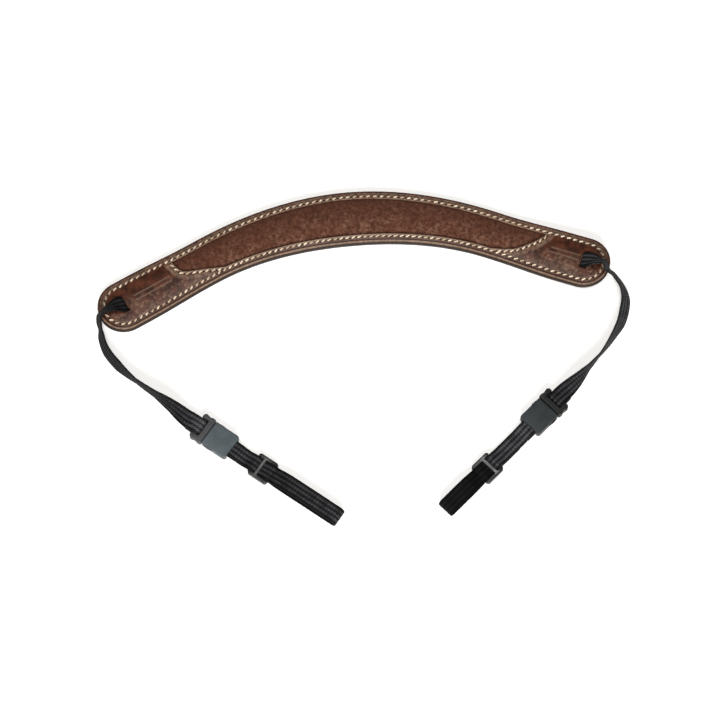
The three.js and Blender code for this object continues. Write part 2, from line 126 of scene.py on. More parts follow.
def number(name, description, default, **kind):
    """A plain number that a user may change, and its unit or kind of quantity, if any."""
    return bpy.props.FloatProperty(name=name, description=description, default=default, **kind)


def colour(name, description, default):
    """A colour that a user may change."""
    return bpy.props.FloatVectorProperty(
        name=name,
        description=description,
        default=default,
        size=3,
        min=0.0,
        max=1.0,
        subtype="COLOR",
    )


class STRAP_PG_yoke(bpy.types.PropertyGroup):
    """Sizes and colours of the padded yoke."""

    border: size("Border", "Width of the leather border beside the window", 6.0)
    row_inset: size("Stitch row", "How far the stitch row lies inside the outline", 4.5)
    second_row: size("Second row", "How far the row beside the window lies outside it", 1.5)
    groove: size("Groove", "Depth that the stitches pull the leather down", 0.34)
    hole: size("Hole", "Radius of a needle hole", 0.5)
    crease_inset: size("Crease", "How far the tooled crease lies inside the outline", 2.5)
    crease: size("Crease depth", "Depth of the tooled crease", 0.32)
    bead: size("Bead", "Height of the raised rim at the window", 0.22)
    tooled: size("Tooled line", "Width of a tooled line", 1.3)
    tooled_depth: size("Tooled depth", "Depth of a tooled line", 0.42)
    bulge: size("Bulge", "Most that the padding may swell in the window", 1.3)
    leather: colour("Leather", "Border and end patches", (0.076, 0.019, 0.007))
    # Colour of the painted sheen, with some wear: inner-half patches, light specks and the band over
    # the border
    leather_sheen_and_wear: colour("Worn leather", "Rims and rubbed places", (0.23, 0.156, 0.108))
    # Colour of the painted highlights: the window's bead, the rounded outer edge and the tooled lines
    rim: colour("Rims", "Rims polished by wear", (0.27, 0.19, 0.135))
    edge_paint: colour("Edge paint", "Painted cut edges", (0.014, 0.007, 0.005))
    suede: colour("Suede", "Face of the padding", (0.092, 0.031, 0.017))
    # Brushed nap, also laid as painted light towards the inner side
    suede_light: colour("Brushed suede", "Nap brushed the other way", (0.185, 0.1, 0.068))
    outer: colour("Outer leather", "Leather on the outer side", (0.075, 0.025, 0.014))


class STRAP_PG_stitches(bpy.types.PropertyGroup):
    """Sizes and colour of the sewing thread."""

    pitch: size("Pitch", "Distance from stitch to stitch", 4.3)
    length: size("Length", "Visible length of a stitch", 3.1)
    thread: size("Thread", "Thickness of the thread", 1.1)
    bobbin: size("Bobbin thread", "Thickness of the thread on the underside", 0.66)
    channel: size("Channel", "Depth of the channel that the underside rows lie in", 0.62)
    slant: number("Slant", "Turn of a stitch against its row", math.radians(27), subtype="ANGLE")
    colour: colour("Thread", "Waxed linen thread", (0.85, 0.72, 0.56))


class STRAP_PG_webbing(bpy.types.PropertyGroup):
    """Sizes and colours of the narrow webbing."""

    width: size("Width", "Width of the webbing", 11.6)
    thick: size("Thickness", "Thickness of the webbing", 1.2)
    ridge_pitch: size("Ridge pitch", "Distance between the lengthwise ridges", 3.1)
    rib_pitch: size("Rib pitch", "Width of one column of the herringbone", 1.55)
    weave_pitch: size("Weave pitch", "Length of one herringbone step", 2.2)
    yarn: colour("Yarn", "Dark yarn", (0.0021, 0.0021, 0.0024))
    # Colour of the painted highlights on the webbing's crests, with some wear
    yarn_highlight_and_wear: colour("Light yarn", "Rubbed yarn on the ridges", (0.07, 0.072, 0.08))


class STRAP_PG_fittings(bpy.types.PropertyGroup):
    """Sizes and colours of the buckles and sliders."""

    rounding: size("Rounding", "Radius of the moulded edges", 0.28)
    socket: colour("Socket", "Plastic of the sockets", (0.061, 0.079, 0.09))
    plug: colour("Plug", "Plastic of the plugs", (0.05, 0.052, 0.057))
    # The next two keep this share of the colour on the right buckle's socket and plug: painted shade
    right_socket_shade: number("Right socket", "How light the right socket is against the left one", 0.34)
    right_plug_shade: number("Right plug", "How light the right plug is against the left one", 0.16)
    # Painted highlight on the left slider's bar, against the right one
    left_bar_highlight: number("Left bar", "How light the left slider's bar is against the right one", 0.45)
    slider: colour("Slider", "Plastic of the sliders", (0.008, 0.008, 0.009))
    # Colour of the painted highlight on the sliders' bars
    bar_highlight: colour("Polished bar", "Where the webbing has polished a bar", (0.2, 0.206, 0.212))


class STRAP_PG_stage(bpy.types.PropertyGroup):
    """Camera distance, lens and floor."""

    elevation: number(
        "Elevation", "Angle of the camera above the floor", math.radians(70), subtype="ANGLE"
    )
    distance: number("Distance", "From the camera to the middle of the strap", 2.0, unit="LENGTH")
    lens: number("Lens", "Focal length in millimetres", 151.5)
    ambient: number("Ambient", "Strength of the even light from all round", 0.13)
    overhead: number("Overhead", "Power of the lamp above, in watts", 18.0)
    front: number("Front", "Power of the lamp on the near side, in watts", 150.0)
    floor: colour("Floor", "Paper on the table", (0.9, 0.9, 0.9))


SETTINGS = {
    "strap_yoke": STRAP_PG_yoke,
    "strap_stitches": STRAP_PG_stitches,
    "strap_webbing": STRAP_PG_webbing,
    "strap_fittings": STRAP_PG_fittings,
    "strap_stage": STRAP_PG_stage,
}


# ------------------------------------------------------------------ meshes
def shade_smooth(mesh):
    """Smooths the shading of every face."""
    mesh.polygons.foreach_set("use_smooth", np.ones(len(mesh.polygons), bool))
    mesh.update()


def mesh_object(name, points, faces):
    """An object at the origin, from points in millimetres, (n, 3), and a list of face arrays."""
    mesh = bpy.data.meshes.new(name)
    all_faces = [face for block in faces for face in np.asarray(block).tolist()]
    mesh.from_pydata((np.asarray(points) * MM).tolist(), [], all_faces)
    obj = bpy.data.objects.new(name, mesh)
    bpy.context.scene.collection.objects.link(obj)
    shade_smooth(mesh)
    return obj


@contextmanager
def opened(obj):
    """The object's mesh open for editing, and written back at the end."""
    work = bmesh.new()
    work.from_mesh(obj.data)
    yield work
    work.to_mesh(obj.data)
    work.free()


def joined(blocks):
    """Points and face arrays of one mesh, from blocks that each have their own."""
    points, faces, done = [], [], 0
    for block_points, block_faces in blocks:
        points.append(block_points)
        faces += [face + done for face in block_faces]
        done += len(block_points)
    return np.vstack(points), faces


def grid_faces(rows, columns, wrap_rows=False, wrap_columns=False):
    """Quads of a grid of rows by columns points, each joined to its next row and next column."""
    last_row = rows if wrap_rows else rows - 1
    last_column = columns if wrap_columns else columns - 1
    r, c = np.meshgrid(np.arange(last_row), np.arange(last_column), indexing="ij")
    r2, c2 = (r + 1) % rows, (c + 1) % columns
    quads = np.stack([r * columns + c, r * columns + c2, r2 * columns + c2, r2 * columns + c], -1)
    return quads.reshape(-1, 4)


def mend(obj):
    """Merges doubled points, drops collapsed faces, turns all faces outwards and returns the object."""
    with opened(obj) as work:
        bmesh.ops.remove_doubles(work, verts=work.verts, dist=MERGE * MM)
        bmesh.ops.dissolve_degenerate(work, edges=work.edges, dist=MERGE * MM / 10)
        bmesh.ops.recalc_face_normals(work, faces=work.faces)
    shade_smooth(obj.data)
    return obj


def points_of(obj):
    """The mesh's points in millimetres, (n, 3)."""
    flat = np.empty(len(obj.data.vertices) * 3)
    obj.data.vertices.foreach_get("co", flat)
    return flat.reshape(-1, 3) / MM


def put_points(obj, points):
    """Writes points in millimetres back into the mesh."""
    obj.data.vertices.foreach_set("co", (points * MM).ravel())
    obj.data.update()


def put_attribute(obj, name, values):
    """Stores one number per point under a name that a material can read."""
    layer = obj.data.attributes.new(name, "FLOAT", "POINT")
    layer.data.foreach_set("value", np.asarray(values, np.float32))


def put_uv(obj, along, across):
    """Stores two lengths per point as the piece's own UV map."""
    layer = obj.data.uv_layers.new(name="lay")
    corners = np.empty(len(obj.data.loops), np.int32)
    obj.data.loops.foreach_get("vertex_index", corners)
    layer.data.foreach_set("uv", np.stack([along, across], -1)[corners].ravel())


def place_piece(obj, node, material):
    """Gives a finished piece its material and body, and hides the imported node it stands in for, if
    any.
    """
    obj.data.materials.clear()
    obj.data.materials.append(material)
    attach(obj, "root")
    if node:
        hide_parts(node)


def apply_modifiers(obj):
    """Replaces the mesh with its evaluated shape and removes the modifiers."""
    bpy.context.view_layer.update()
    shaped = obj.evaluated_get(bpy.context.evaluated_depsgraph_get())
    made = bpy.data.meshes.new_from_object(shaped)
    obj.modifiers.clear()
    obj.data = made


def subdivide(obj):
    """One step of subdivision, applied."""
    finer = obj.modifiers.new("Finer", "SUBSURF")
    finer.levels = finer.render_levels = 1
    apply_modifiers(obj)


# ------------------------------------------------------------------ the yoke's own shape
def smoothstep(x):
    """3x^2 - 2x^3 between 0 and 1."""
    x = np.clip(x, 0.0, 1.0)
    return x * x * (3.0 - 2.0 * x)


def eased(column, along):
    """A column of YOKE_ROWS, eased with smoothstep from row to row."""
    far = np.minimum(np.abs(along), HALF_LENGTH)
    k = np.clip(np.searchsorted(YOKE_ROWS[:, 0], far), 1, len(YOKE_ROWS) - 1)
    low, high = YOKE_ROWS[k - 1], YOKE_ROWS[k]
    share = smoothstep((far - low[..., 0]) / (high[..., 0] - low[..., 0]))
    return low[..., column] + (high[..., column] - low[..., column]) * share


def half_width(along):
    """Half the yoke's width: from the rows, and a circle round each end."""
    past = np.maximum(np.abs(along) - STRAIGHT, 0.0)
    circle = np.sqrt(np.maximum(END_RADIUS**2 - past**2, 0.0))
    return np.where(past > 0, np.minimum(eased(1, along) / 2, circle), eased(1, along) / 2)


def curl(along):
    """The right end's rise: the square of the share of the way from CURL_FROM to the end."""
    return CURL_RISE * (np.maximum(0.0, along - CURL_FROM) / (HALF_LENGTH - CURL_FROM)) ** 2


def pad_top(along, across):
    """Top of the padding: a power curve across the width that falls to PAD_EDGE at the outline."""
    u = np.clip(np.abs(across) / np.maximum(half_width(along), 1e-3), 0.0, 1.0)
    return PAD_LOW + PAD_EDGE + eased(2, along) * (1.0 - u**CROWN_POWER)


def leather_low(along, across):
    """Underside of the border leather."""
    return pad_top(along, across) + GAP


def leather_top(along, across):
    """Face of the border leather before its relief."""
    return leather_low(along, across) + FRAME_THICK


def turned(x, y, angle):
    """Plan coordinates turned about the origin."""
    c, s = math.cos(angle), math.sin(angle)
    return x * c - y * s, x * s + y * c


def middle_line(along):
    """Plan point of the middle line, an arc with straight ends, and its direction to the outer edge."""
    angle = np.clip(along / ARC_RADIUS, -ARC_HALF, ARC_HALF)
    beyond = along - angle * ARC_RADIUS
    x = ARC_RADIUS * np.sin(angle) + beyond * np.cos(angle)
    y = ARC_RADIUS * (np.cos(angle) - 1.0) - beyond * np.sin(angle)
    x, y = turned(x, y, TURN)
    ox, oy = turned(np.sin(angle), np.cos(angle), TURN)
    return x + YOKE_X - LAYOUT_X, y + YOKE_Y - LAYOUT_Y, ox, oy


def yoke_points(along, across, height):
    """Points in the frame from yoke terms: along the middle line, across to the outer edge, height."""
    x, y, ox, oy = middle_line(along)
    return np.stack([x + across * ox, y + across * oy, height + curl(along)], -1)


def yoke_terms(points):
    """Along and across of points in the frame, (n, 2): the inverse of the arc and its straight ends."""
    x, y = turned(points[:, 0] - YOKE_X + LAYOUT_X, points[:, 1] - YOKE_Y + LAYOUT_Y, -TURN)
    angle = np.arctan2(x, y + ARC_RADIUS)
    on_arc = np.abs(angle) <= ARC_HALF
    end = np.sign(x)
    ex = ARC_RADIUS * math.sin(ARC_HALF) * end
    ey = ARC_RADIUS * (math.cos(ARC_HALF) - 1.0)
    run = (x - ex) * math.cos(ARC_HALF) - (y - ey) * math.sin(ARC_HALF) * end
    side = (x - ex) * math.sin(ARC_HALF) * end + (y - ey) * math.cos(ARC_HALF)
    along = np.where(on_arc, ARC_RADIUS * angle, (ARC_RADIUS * ARC_HALF + run * end) * end)
    across = np.where(on_arc, np.hypot(x, y + ARC_RADIUS) - ARC_RADIUS, side)
    return np.stack([along, across], -1)


def outer_share(along, across):
    """Place across the yoke, from -1 at its inner side to 1 at its outer side."""
    return across / np.maximum(half_width(along), 1.0)


def from_outline(along, across):
    """Distance inwards from the outline: to the sides, and to a circle at the ends."""
    past = np.maximum(np.abs(along) - STRAIGHT, 0.0)
    round_end = END_RADIUS - np.hypot(past, across)
    return np.where(past > 0, round_end, half_width(along) - np.abs(across))


def closed_up(line):
    """The line with its first point again at its end."""
    return np.vstack([line, line[:1]])


def run_along(line):
    """The length run at each point of an open line."""
    return np.concatenate([[0.0], np.cumsum(np.linalg.norm(np.diff(line, axis=0), axis=1))])


def looked_up(wanted, length, line):
    """The line's columns where the length run is as wanted."""
    return np.stack([np.interp(wanted, length, column) for column in line.T], -1)


def unit(vectors):
    """The vectors at length 1."""
    return vectors / np.linalg.norm(vectors, axis=1, keepdims=True)


def normals_of(line):
    """Unit vectors to the left of a closed line of plan points, square to the line through each
    point's two neighbours."""
    step = np.roll(line, -1, 0) - np.roll(line, 1, 0)
    step = step / np.maximum(np.linalg.norm(step, axis=1, keepdims=True), 1e-9)
    return np.stack([-step[:, 1], step[:, 0]], -1)


def resample(line, count, closed=False):
    """The line again with count points at equal distances along it."""
    if closed:
        line = closed_up(line)
    length = run_along(line)
    wanted = np.linspace(0.0, length[-1], count, endpoint=not closed)
    return looked_up(wanted, length, line)


def spans(line):
    """The four points that shape each span of a curve through the line, with a point added beyond
    each end."""
    padded = np.vstack([2 * line[0] - line[1], line, 2 * line[-1] - line[-2]])
    return [padded[k : len(padded) - 3 + k] for k in range(4)]


def smooth_line(line, count):
    """A cubic through the points: Catmull-Rom with equal weights, count points a span."""
    t = np.linspace(0.0, 1.0, count, endpoint=False)[None, :, None]
    a, b, c, d = (point[:, None, :] for point in spans(line))
    curve = 0.5 * (
        2 * b + (c - a) * t + (2 * a - 5 * b + 4 * c - d) * t**2 + (3 * b - a - 3 * c + d) * t**3
    )
    return np.vstack([curve.reshape(-1, line.shape[1]), line[-1:]])


def half_circle(radius, samples):
    """Points of a half circle about the origin, clockwise from its top."""
    turn = np.linspace(math.pi / 2, -math.pi / 2, samples)
    return radius * np.stack([np.cos(turn), np.sin(turn)], -1)


def outline_section(start, stop, side, samples=400):
    """The outline along one side, from start to stop, as yoke terms."""
    along = np.linspace(start, stop, samples)
    return np.stack([along, side * half_width(along)], -1)


def outline_end(end, first, last, samples=200):
    """The outline round one end (-1 or 1), from along first on the outer side to last on the inner."""
    tip = half_circle(END_RADIUS, samples) * (end, 1) + (end * STRAIGHT, 0)
    outer = outline_section(end * first, end * STRAIGHT, 1)
    inner = outline_section(end * STRAIGHT, end * last, -1)
    return np.vstack([outer[:-1], tip, inner[1:]])


def border_lines(settings, spacing=0.75):
    """Matching closed lines of the outline and the window, in yoke terms, counterclockwise.

    Four parts: the outer side, the left end, the inner side and the right end. Along the sides both
    lines have the same distance along the yoke; round an end each line is divided evenly.
    """
    curve_steps, round_an_end = 12, 190.0

    def reach(along):
        return half_width(along) - settings.border / MM

    ends = {}
    for side, end in (("left", -1), ("right", 1)):
        rows = np.array(WINDOW_ENDS[side])
        s_line = np.stack([end * rows[:, 0], rows[:, 1] * reach(rows[:, 0])], -1)
        ends[side] = smooth_line(s_line, curve_steps)
    (left_top, left_low), (right_top, right_low) = (
        (abs(ends[side][0, 0]), abs(ends[side][-1, 0])) for side in SIDES
    )
    count = int(round_an_end / spacing)
    parts = [
        (right_top, -left_top, 1, outline_end(-1, left_top, left_low), ends["left"]),
        (-left_low, right_low, -1, outline_end(1, right_top, right_low)[::-1], ends["right"][::-1]),
    ]
    outline, window = [], []
    for start, stop, side, outline_round, window_round in parts:
        section = outline_section(start, stop, side, int(abs(stop - start) / spacing) + 1)[:-1]
        along = section[:, 0]
        outline += [section, resample(outline_round, count)[:-1]]
        window += [np.stack([along, side * reach(along)], -1), resample(window_round, count)[:-1]]
    return np.vstack(outline), np.vstack(window)


def nearest_on(points, line):
    """Each plan point's distance from an open line, its side of it and the length run to there: the
    nearest point of the line is found first, then the foot on the two segments beside it."""
    span = np.diff(line, axis=0)
    length = run_along(line)
    near = np.empty(len(points), int)
    for k in range(0, len(points), CHUNK):
        part = points[k : k + CHUNK]
        square = np.sum(line**2, 1)[None, :] - 2.0 * part @ line.T
        near[k : k + CHUNK] = np.argmin(square, 1)
    best = np.full(len(points), np.inf)
    side, run = np.zeros(len(points)), np.zeros(len(points))
    for shift in (-1, 0):
        index = np.clip(near + shift, 0, len(span) - 1)
        start, step = line[index], span[index]
        away = points - start
        share = np.sum(away * step, 1) / np.maximum(np.sum(step * step, 1), 1e-12)
        share = np.clip(share, 0.0, 1.0)
        gap = away - share[:, None] * step
        far = np.linalg.norm(gap, axis=1)
        closer = far < best
        best = np.where(closer, far, best)
        turn = np.sign(step[:, 0] * gap[:, 1] - step[:, 1] * gap[:, 0])
        side = np.where(closer, turn, side)
        here = length[index] + share * (length[index + 1] - length[index])
        run = np.where(closer, here, run)
    return best, side, run


def distance_to(points, line):
    """Distance of each plan point from a closed line."""
    return nearest_on(points, closed_up(line))[0]


# ------------------------------------------------------------------ shader expressions
class Value:
    """A shader socket with arithmetic: each operator adds its Math node."""

    def __init__(self, graph, socket):
        self.graph, self.socket = graph, socket

    def _math(self, operation, *others):
        return self.graph.node("ShaderNodeMath", {"operation": operation}, *others)

    def __add__(self, other):
        return self._math("ADD", self, other)

    def __mul__(self, other):
        return self._math("MULTIPLY", self, other)

    def __sub__(self, other):
        return self._math("SUBTRACT", self, other)

    def __rsub__(self, other):
        return self._math("SUBTRACT", other, self)

    def __truediv__(self, other):
        return self._math("DIVIDE", self, other)

    def __pow__(self, other):
        return self._math("POWER", self, other)

    def sine(self):
        return self._math("SINE", self)

    def absolute(self):
        return self._math("ABSOLUTE", self)

    def fraction(self):
        return self._math("FRACT", self)

    def ramp(self, low, high, to_low=0.0, to_high=1.0):
        """Eased from to_low at low to to_high at high."""
        settings = {"interpolation_type": "SMOOTHSTEP"}
        return self.graph.node("ShaderNodeMapRange", settings, self, low, high, to_low, to_high)


class Graph:
    """A material's node tree, whose nodes all come from one method."""

    def __init__(self, name):
        self.material = bpy.data.materials.new(name)
        self.material.use_nodes = True
        self.tree = self.material.node_tree
        self.shader = self.tree.nodes["Principled BSDF"]

    def node(self, kind, settings=None, *inputs, output=0, **named):
        """Adds a node: its settings first, then its sockets in order or by name."""
        made = self.tree.nodes.new(kind)
        for key, value in (settings or {}).items():
            setattr(made, key, value)
        sockets = [s for s in made.inputs if s.enabled]
        pairs = list(zip(sockets, inputs)) + [(made.inputs[key], v) for key, v in named.items()]
        for socket, value in pairs:
            self.put(socket, value)
        outputs = [s for s in made.outputs if s.enabled]
        return Value(self, outputs[output])

    def put(self, socket, value):
        """Links a value to a socket, or sets the socket to a plain number or colour."""
        if isinstance(value, Value):
            self.tree.links.new(value.socket, socket)
        elif value is not None:
            wide = hasattr(socket.default_value, "__len__") and len(socket.default_value) == 4
            socket.default_value = (*value, 1.0) if wide and len(value) == 3 else value

    def set(self, **sockets):
        """Sets or links the sockets of the surface shader, with spaces written as underscores."""
        for key, value in sockets.items():
            self.put(self.shader.inputs[key.replace("_", " ")], value)

    def where(self):
        """The point's place on the object, in metres."""
        return self.node("ShaderNodeTexCoord", {}, output=3)

    def uv(self):
        """The two lengths that put_uv stores."""
        vector = self.node("ShaderNodeUVMap", {"uv_map": "lay"})
        along = self.node("ShaderNodeSeparateXYZ", {}, vector)
        return along, Value(self, along.socket.node.outputs[1])

    def attribute(self, name):
        """The number that put_attribute stores under a name."""
        return self.node("ShaderNodeAttribute", {"attribute_name": name}, output=2)

    def noise(self, place, scale, detail=3.0, roughness=0.55):
        """Cloudy noise from 0 to 1."""
        return self.node(
            "ShaderNodeTexNoise", {}, place, Scale=scale, Detail=detail, Roughness=roughness
        )

    def cells(self, place, scale):
        """The distance to the edges of random cells."""
        return self.node("ShaderNodeTexVoronoi", {"feature": "DISTANCE_TO_EDGE"}, place, Scale=scale)

    def mix(self, factor, a, b):
        """Colour a at factor 0 and colour b at factor 1."""
        made = self.tree.nodes.new("ShaderNodeMix")
        made.data_type = "RGBA"
        self.put(made.inputs[0], factor)
        self.put(made.inputs[6], a)
        self.put(made.inputs[7], b)
        return Value(self, made.outputs[2])

    def layered(self, base, *layers):
        """The base with each layer's colour laid over it, as much as its factor says, in order."""
        for factor, tint in layers:
            base = self.mix(factor, base, tint)
        return base

    def bump(self, height, distance_mm, strength):
        """The normal of a surface raised by height, where 1 stands for the distance."""
        distance = distance_mm * MM
        return self.node(
            "ShaderNodeBump", {}, Strength=strength, Distance=distance, Height=height
        )


def scaled(share, tint):
    """A colour made darker or lighter."""
    return tuple(share * c for c in tint)


def grain_height(graph, place, pebble):
    """Leather grain: rounded cells with creases between them, over finer noise."""
    creases = graph.cells(place, pebble).ramp(0.0, 0.22)
    fine = graph.noise(place, 2600.0, detail=4.0)
    return creases * 0.7 + fine * 0.45


def border_leather_material(settings, sewing):
    """Smooth glossy leather: mottled, with painted sheen and some wear on the inner half, painted
    highlights beside its crease, at the window and on the tooled lines, painted shade in its crease,
    stitch grooves and needle holes, painted round its cut edge, and glossier towards the inner side."""
    graph = Graph("border leather")
    place = graph.where()
    edge = graph.attribute("from_outline")
    rim = graph.attribute("from_window")
    row = graph.attribute("row_offset")
    count = graph.attribute("row_count")
    outer = graph.attribute("outer_share")
    broad = graph.noise(place, 30.0, detail=4.0)
    clouds = graph.noise(place, 150.0, detail=5.0, roughness=0.62)
    streaks = graph.noise(place, 480.0, detail=4.0)
    # Dark leather: for the mottling, and for the painted shade in the crease and the stitch grooves
    dark = scaled(0.36, settings.leather)
    # 1 at the inner side, the near side, where most of the painted sheen and highlights are laid
    inner = outer.ramp(0.4, -0.5)
    # Light patches weighted to the inner half: painted sheen, with some wear
    wear_and_sheen = broad.ramp(0.42, 0.68) * inner * streaks.ramp(0.3, 0.6, 0.3, 1.0)
    specks = streaks.ramp(0.48, 0.64) * clouds.ramp(0.36, 0.6, 0.15, 1.0)
    beside = 1.0 - (1.0 - rim.ramp(6.5, 4.5)) * (1.0 - edge.ramp(6.2, 5.0) * 0.8)
    # Lighter band over the border's face beside the stitch rows: painted sheen
    margin = beside * edge.ramp(1.2, 2.0) * streaks.ramp(0.36, 0.62, 0.25, 0.8)
    # Lighter bead at the window, stronger on the inner side: painted highlight
    bead = rim.ramp(0.1, 0.45) * rim.ramp(1.5, 1.0) * streaks.ramp(0.25, 0.6, 0.5, 1.0)
    # Light strip on the rounded outer edge, strong on the inner side and faint on the outer: painted
    # highlight
    strip = edge.ramp(0.55, 0.95) * edge.ramp(2.1, 1.7) * streaks.ramp(0.25, 0.6, 0.5, 1.0)
    # Darker in the crease, most on the inner side: painted shade
    crease = (edge - settings.crease_inset / MM).absolute().ramp(1.0, 0.5, 0.0, 0.9)
    away = (count + 0.5).fraction() - 0.5
    # Needle holes nearly black: painted shade in the holes
    hole = ((away * (sewing.pitch / MM)) ** 2.0 + row * row).ramp(0.75, 0.2, 0.0, 0.62)
    painted = edge.ramp(0.75, 0.4)
    base = graph.layered(
        graph.mix(clouds.ramp(0.38, 0.62), dark, settings.leather),
        (wear_and_sheen * 0.5, settings.leather_sheen_and_wear),
        # Light specks, weighted to the inner half: mottling with painted sheen
        (specks * inner.ramp(0.0, 1.0, 0.06, 0.5), settings.leather_sheen_and_wear),
        (margin * inner.ramp(0.0, 1.0, 1.0, 0.6), settings.leather_sheen_and_wear),
        (bead * inner.ramp(0.0, 1.0, 0.2, 0.6), settings.rim),
        (strip * inner.ramp(0.2, 0.8, 0.06, 0.62), settings.rim),
        (crease * inner.ramp(0.0, 0.6, 0.3, 1.0), dark),
        # Darker along the stitch grooves: painted shade
        (row.absolute().ramp(0.9, 0.5, 0.0, 0.3), dark),
        (hole, settings.edge_paint),
        # Lighter floor of the tooled lines: painted glint
        (graph.attribute("tooled") * 0.36, settings.rim),
        (painted, settings.edge_paint),
    )
    grain = grain_height(graph, place, 1500.0)
    wrinkles = graph.noise(place, 300.0, detail=6.0, roughness=0.6)
    height = (grain * 0.4 + wrinkles * 0.7) * (1.0 - painted * 0.8)
    graph.set(
        Base_Color=base,
        Roughness=clouds.ramp(0.3, 0.75, 0.42, 0.56) + streaks * 0.08 + hole * 0.3,
        Normal=graph.bump(height, 0.09, 0.6),
        Specular_IOR_Level=0.2,
        Coat_Weight=inner * edge.ramp(2.0, 3.5) * clouds.ramp(0.35, 0.6, 0.1, 0.35),
        Coat_Roughness=0.38,
    )
    return graph.material


def suede_material(settings):
    """Suede: no gloss, a soft sheen, a nap brushed in patches, painted lighter towards the inner side,
    and painted shade at the window's edge.
    """
    graph = Graph("suede")
    place = graph.where()
    outer = graph.attribute("outer_share")
    patches = graph.noise(place, 130.0, detail=5.0, roughness=0.65)
    nap = graph.noise(place, 400.0, detail=5.0, roughness=0.75)
    fluff = graph.noise(place, 2600.0, detail=3.0, roughness=0.7)
    brushed = patches.ramp(0.4, 0.66, 0.15, 0.7) * nap.ramp(0.42, 0.62, 0.1, 1.0)
    base = graph.layered(
        graph.mix(nap.ramp(0.34, 0.64), scaled(0.52, settings.suede), settings.suede),
        # Brushed nap, laid more on the inner side: nap pattern with painted light
        (brushed * outer.ramp(0.8, -0.8, 0.3, 1.3), settings.suede_light),
        # Darker where the suede meets the border: painted shade
        (graph.attribute("from_window").ramp(1.9, 0.2, 0.0, 0.55), scaled(0.35, settings.suede)),
    )
    graph.set(
        Base_Color=base,
        Roughness=0.95,
        Specular_IOR_Level=0.15,
        Sheen_Weight=0.12,
        Sheen_Roughness=0.5,
        Sheen_Tint=(0.8, 0.55, 0.45, 1.0),
        Normal=graph.bump(nap * 0.7 + fluff * 0.5, 0.22, 0.8),
    )
    return graph.material


def outer_leather_material(settings):
    """Outer leather: deep brown, pebbled and semi-matt, with painted edges."""
    graph = Graph("outer leather")
    place = graph.where()
    clouds = graph.noise(place, 90.0, detail=4.0)
    painted = graph.attribute("from_outline").ramp(0.7, 0.35)
    base = graph.layered(
        graph.mix(clouds.ramp(0.35, 0.65), scaled(0.55, settings.outer), settings.outer),
        (painted, settings.edge_paint),
    )
    height = grain_height(graph, place, 700.0) * (1.0 - painted * 0.8)
    graph.set(
        Base_Color=base,
        Roughness=clouds.ramp(0.3, 0.7, 0.42, 0.58),
        Normal=graph.bump(height, 0.14, 0.8),
    )
    return graph.material


def thread_material(settings):
    """Waxed thread: cream, a little dirtier in places, with painted shade in the grooves of its twist,
    and its twist in the bump.
    """
    graph = Graph("thread")
    place = graph.where()
    along, across = graph.uv()
    dirt = graph.noise(place, 330.0, detail=3.0)
    dirt_and_shade = tuple(share * c for share, c in zip((0.42, 0.33, 0.27), settings.colour))
    turns_a_mm = 1.9
    twist = ((along * turns_a_mm + across) * (2.0 * math.pi)).sine()
    base = graph.layered(
        settings.colour,
        (graph.attribute("tone").ramp(0.35, 1.0, 0.0, 0.75), dirt_and_shade),
        (dirt.ramp(0.42, 0.7, 0.0, 0.8), dirt_and_shade),
        # Darker in the grooves of the twist: painted shade
        (twist.ramp(-1.0, -0.3, 0.25, 0.0), dirt_and_shade),
    )
    graph.set(
        Base_Color=base,
        Roughness=0.62,
        Normal=graph.bump(twist, 0.08, 0.6),
    )
    return graph.material


WEAVE_SLANT = 1.1  # how many steps the herringbone leans over the width of one column


def webbing_material(settings):
    """Tight black webbing: lengthwise ridges, columns of herringbone on them, and on top painted
    highlights with some wear.
    """
    graph = Graph("webbing")
    place = graph.where()
    along, across = graph.uv()
    ridge = (across * (math.pi / (settings.ridge_pitch / MM))).sine()
    ridge = 1.0 - ridge * ridge
    selvedge = across.absolute().ramp(5.0, 4.3, 0.45, 1.0)
    rib = across / (settings.rib_pitch / MM)
    lean = ((rib + 0.5).fraction() - 0.5).absolute() * WEAVE_SLANT
    step = (along / (settings.weave_pitch / MM) + lean).fraction()
    crest = (step - 0.5).absolute() * 2.0
    fibres = graph.noise(place, 2300.0, detail=3.0, roughness=0.7)
    blotches = graph.noise(place, 190.0, detail=4.0)
    # Lighter yarn on the crests of the ridges and the herringbone: painted highlight, with some wear
    lit = crest.ramp(0.95, 0.3, 0.3, 1.0) * ridge.ramp(0.2, 0.85, 0.2, 1.0) * selvedge
    lit = lit * fibres.ramp(0.3, 0.7, 0.5, 1.0) * blotches.ramp(0.34, 0.62, 0.45, 1.0)
    lit = lit * graph.attribute("wear_and_sheen")
    base = graph.mix(lit, settings.yarn, settings.yarn_highlight_and_wear)
    height = fibres * 0.35 + (1.0 - crest) * 0.6
    graph.set(
        Base_Color=base,
        Roughness=blotches.ramp(0.3, 0.7, 0.62, 0.8),
        Specular_IOR_Level=0.06,
        Normal=graph.bump(height, 0.12, 0.7),
    )
    return graph.material


def plastic_material(name, shade, roughness, bar_highlight_tint):
    """Moulded acetal: a fine spark texture, faint flow marks, and a painted highlight on the slider's
    raised bar.
    """
    graph = Graph(name)
    place = graph.where()
    clouds = graph.noise(place, 140.0, detail=4.0)
    spark = graph.noise(place, 1900.0, detail=4.0, roughness=0.65)
    base = graph.layered(
        graph.mix(clouds.ramp(0.36, 0.64), scaled(0.72, shade), shade),
        (spark.ramp(0.52, 0.72, 0.0, 0.5), scaled(1.3, shade)),
        (graph.attribute("bar_highlight") * clouds.ramp(0.3, 0.6, 0.3, 1.0), bar_highlight_tint),
    )
    graph.set(
        Base_Color=base,
        Roughness=clouds.ramp(0.3, 0.7, roughness - 0.05, roughness + 0.08),
        Specular_IOR_Level=0.25,
        Normal=graph.bump(spark, 0.045, 0.5),
    )
    return graph.material


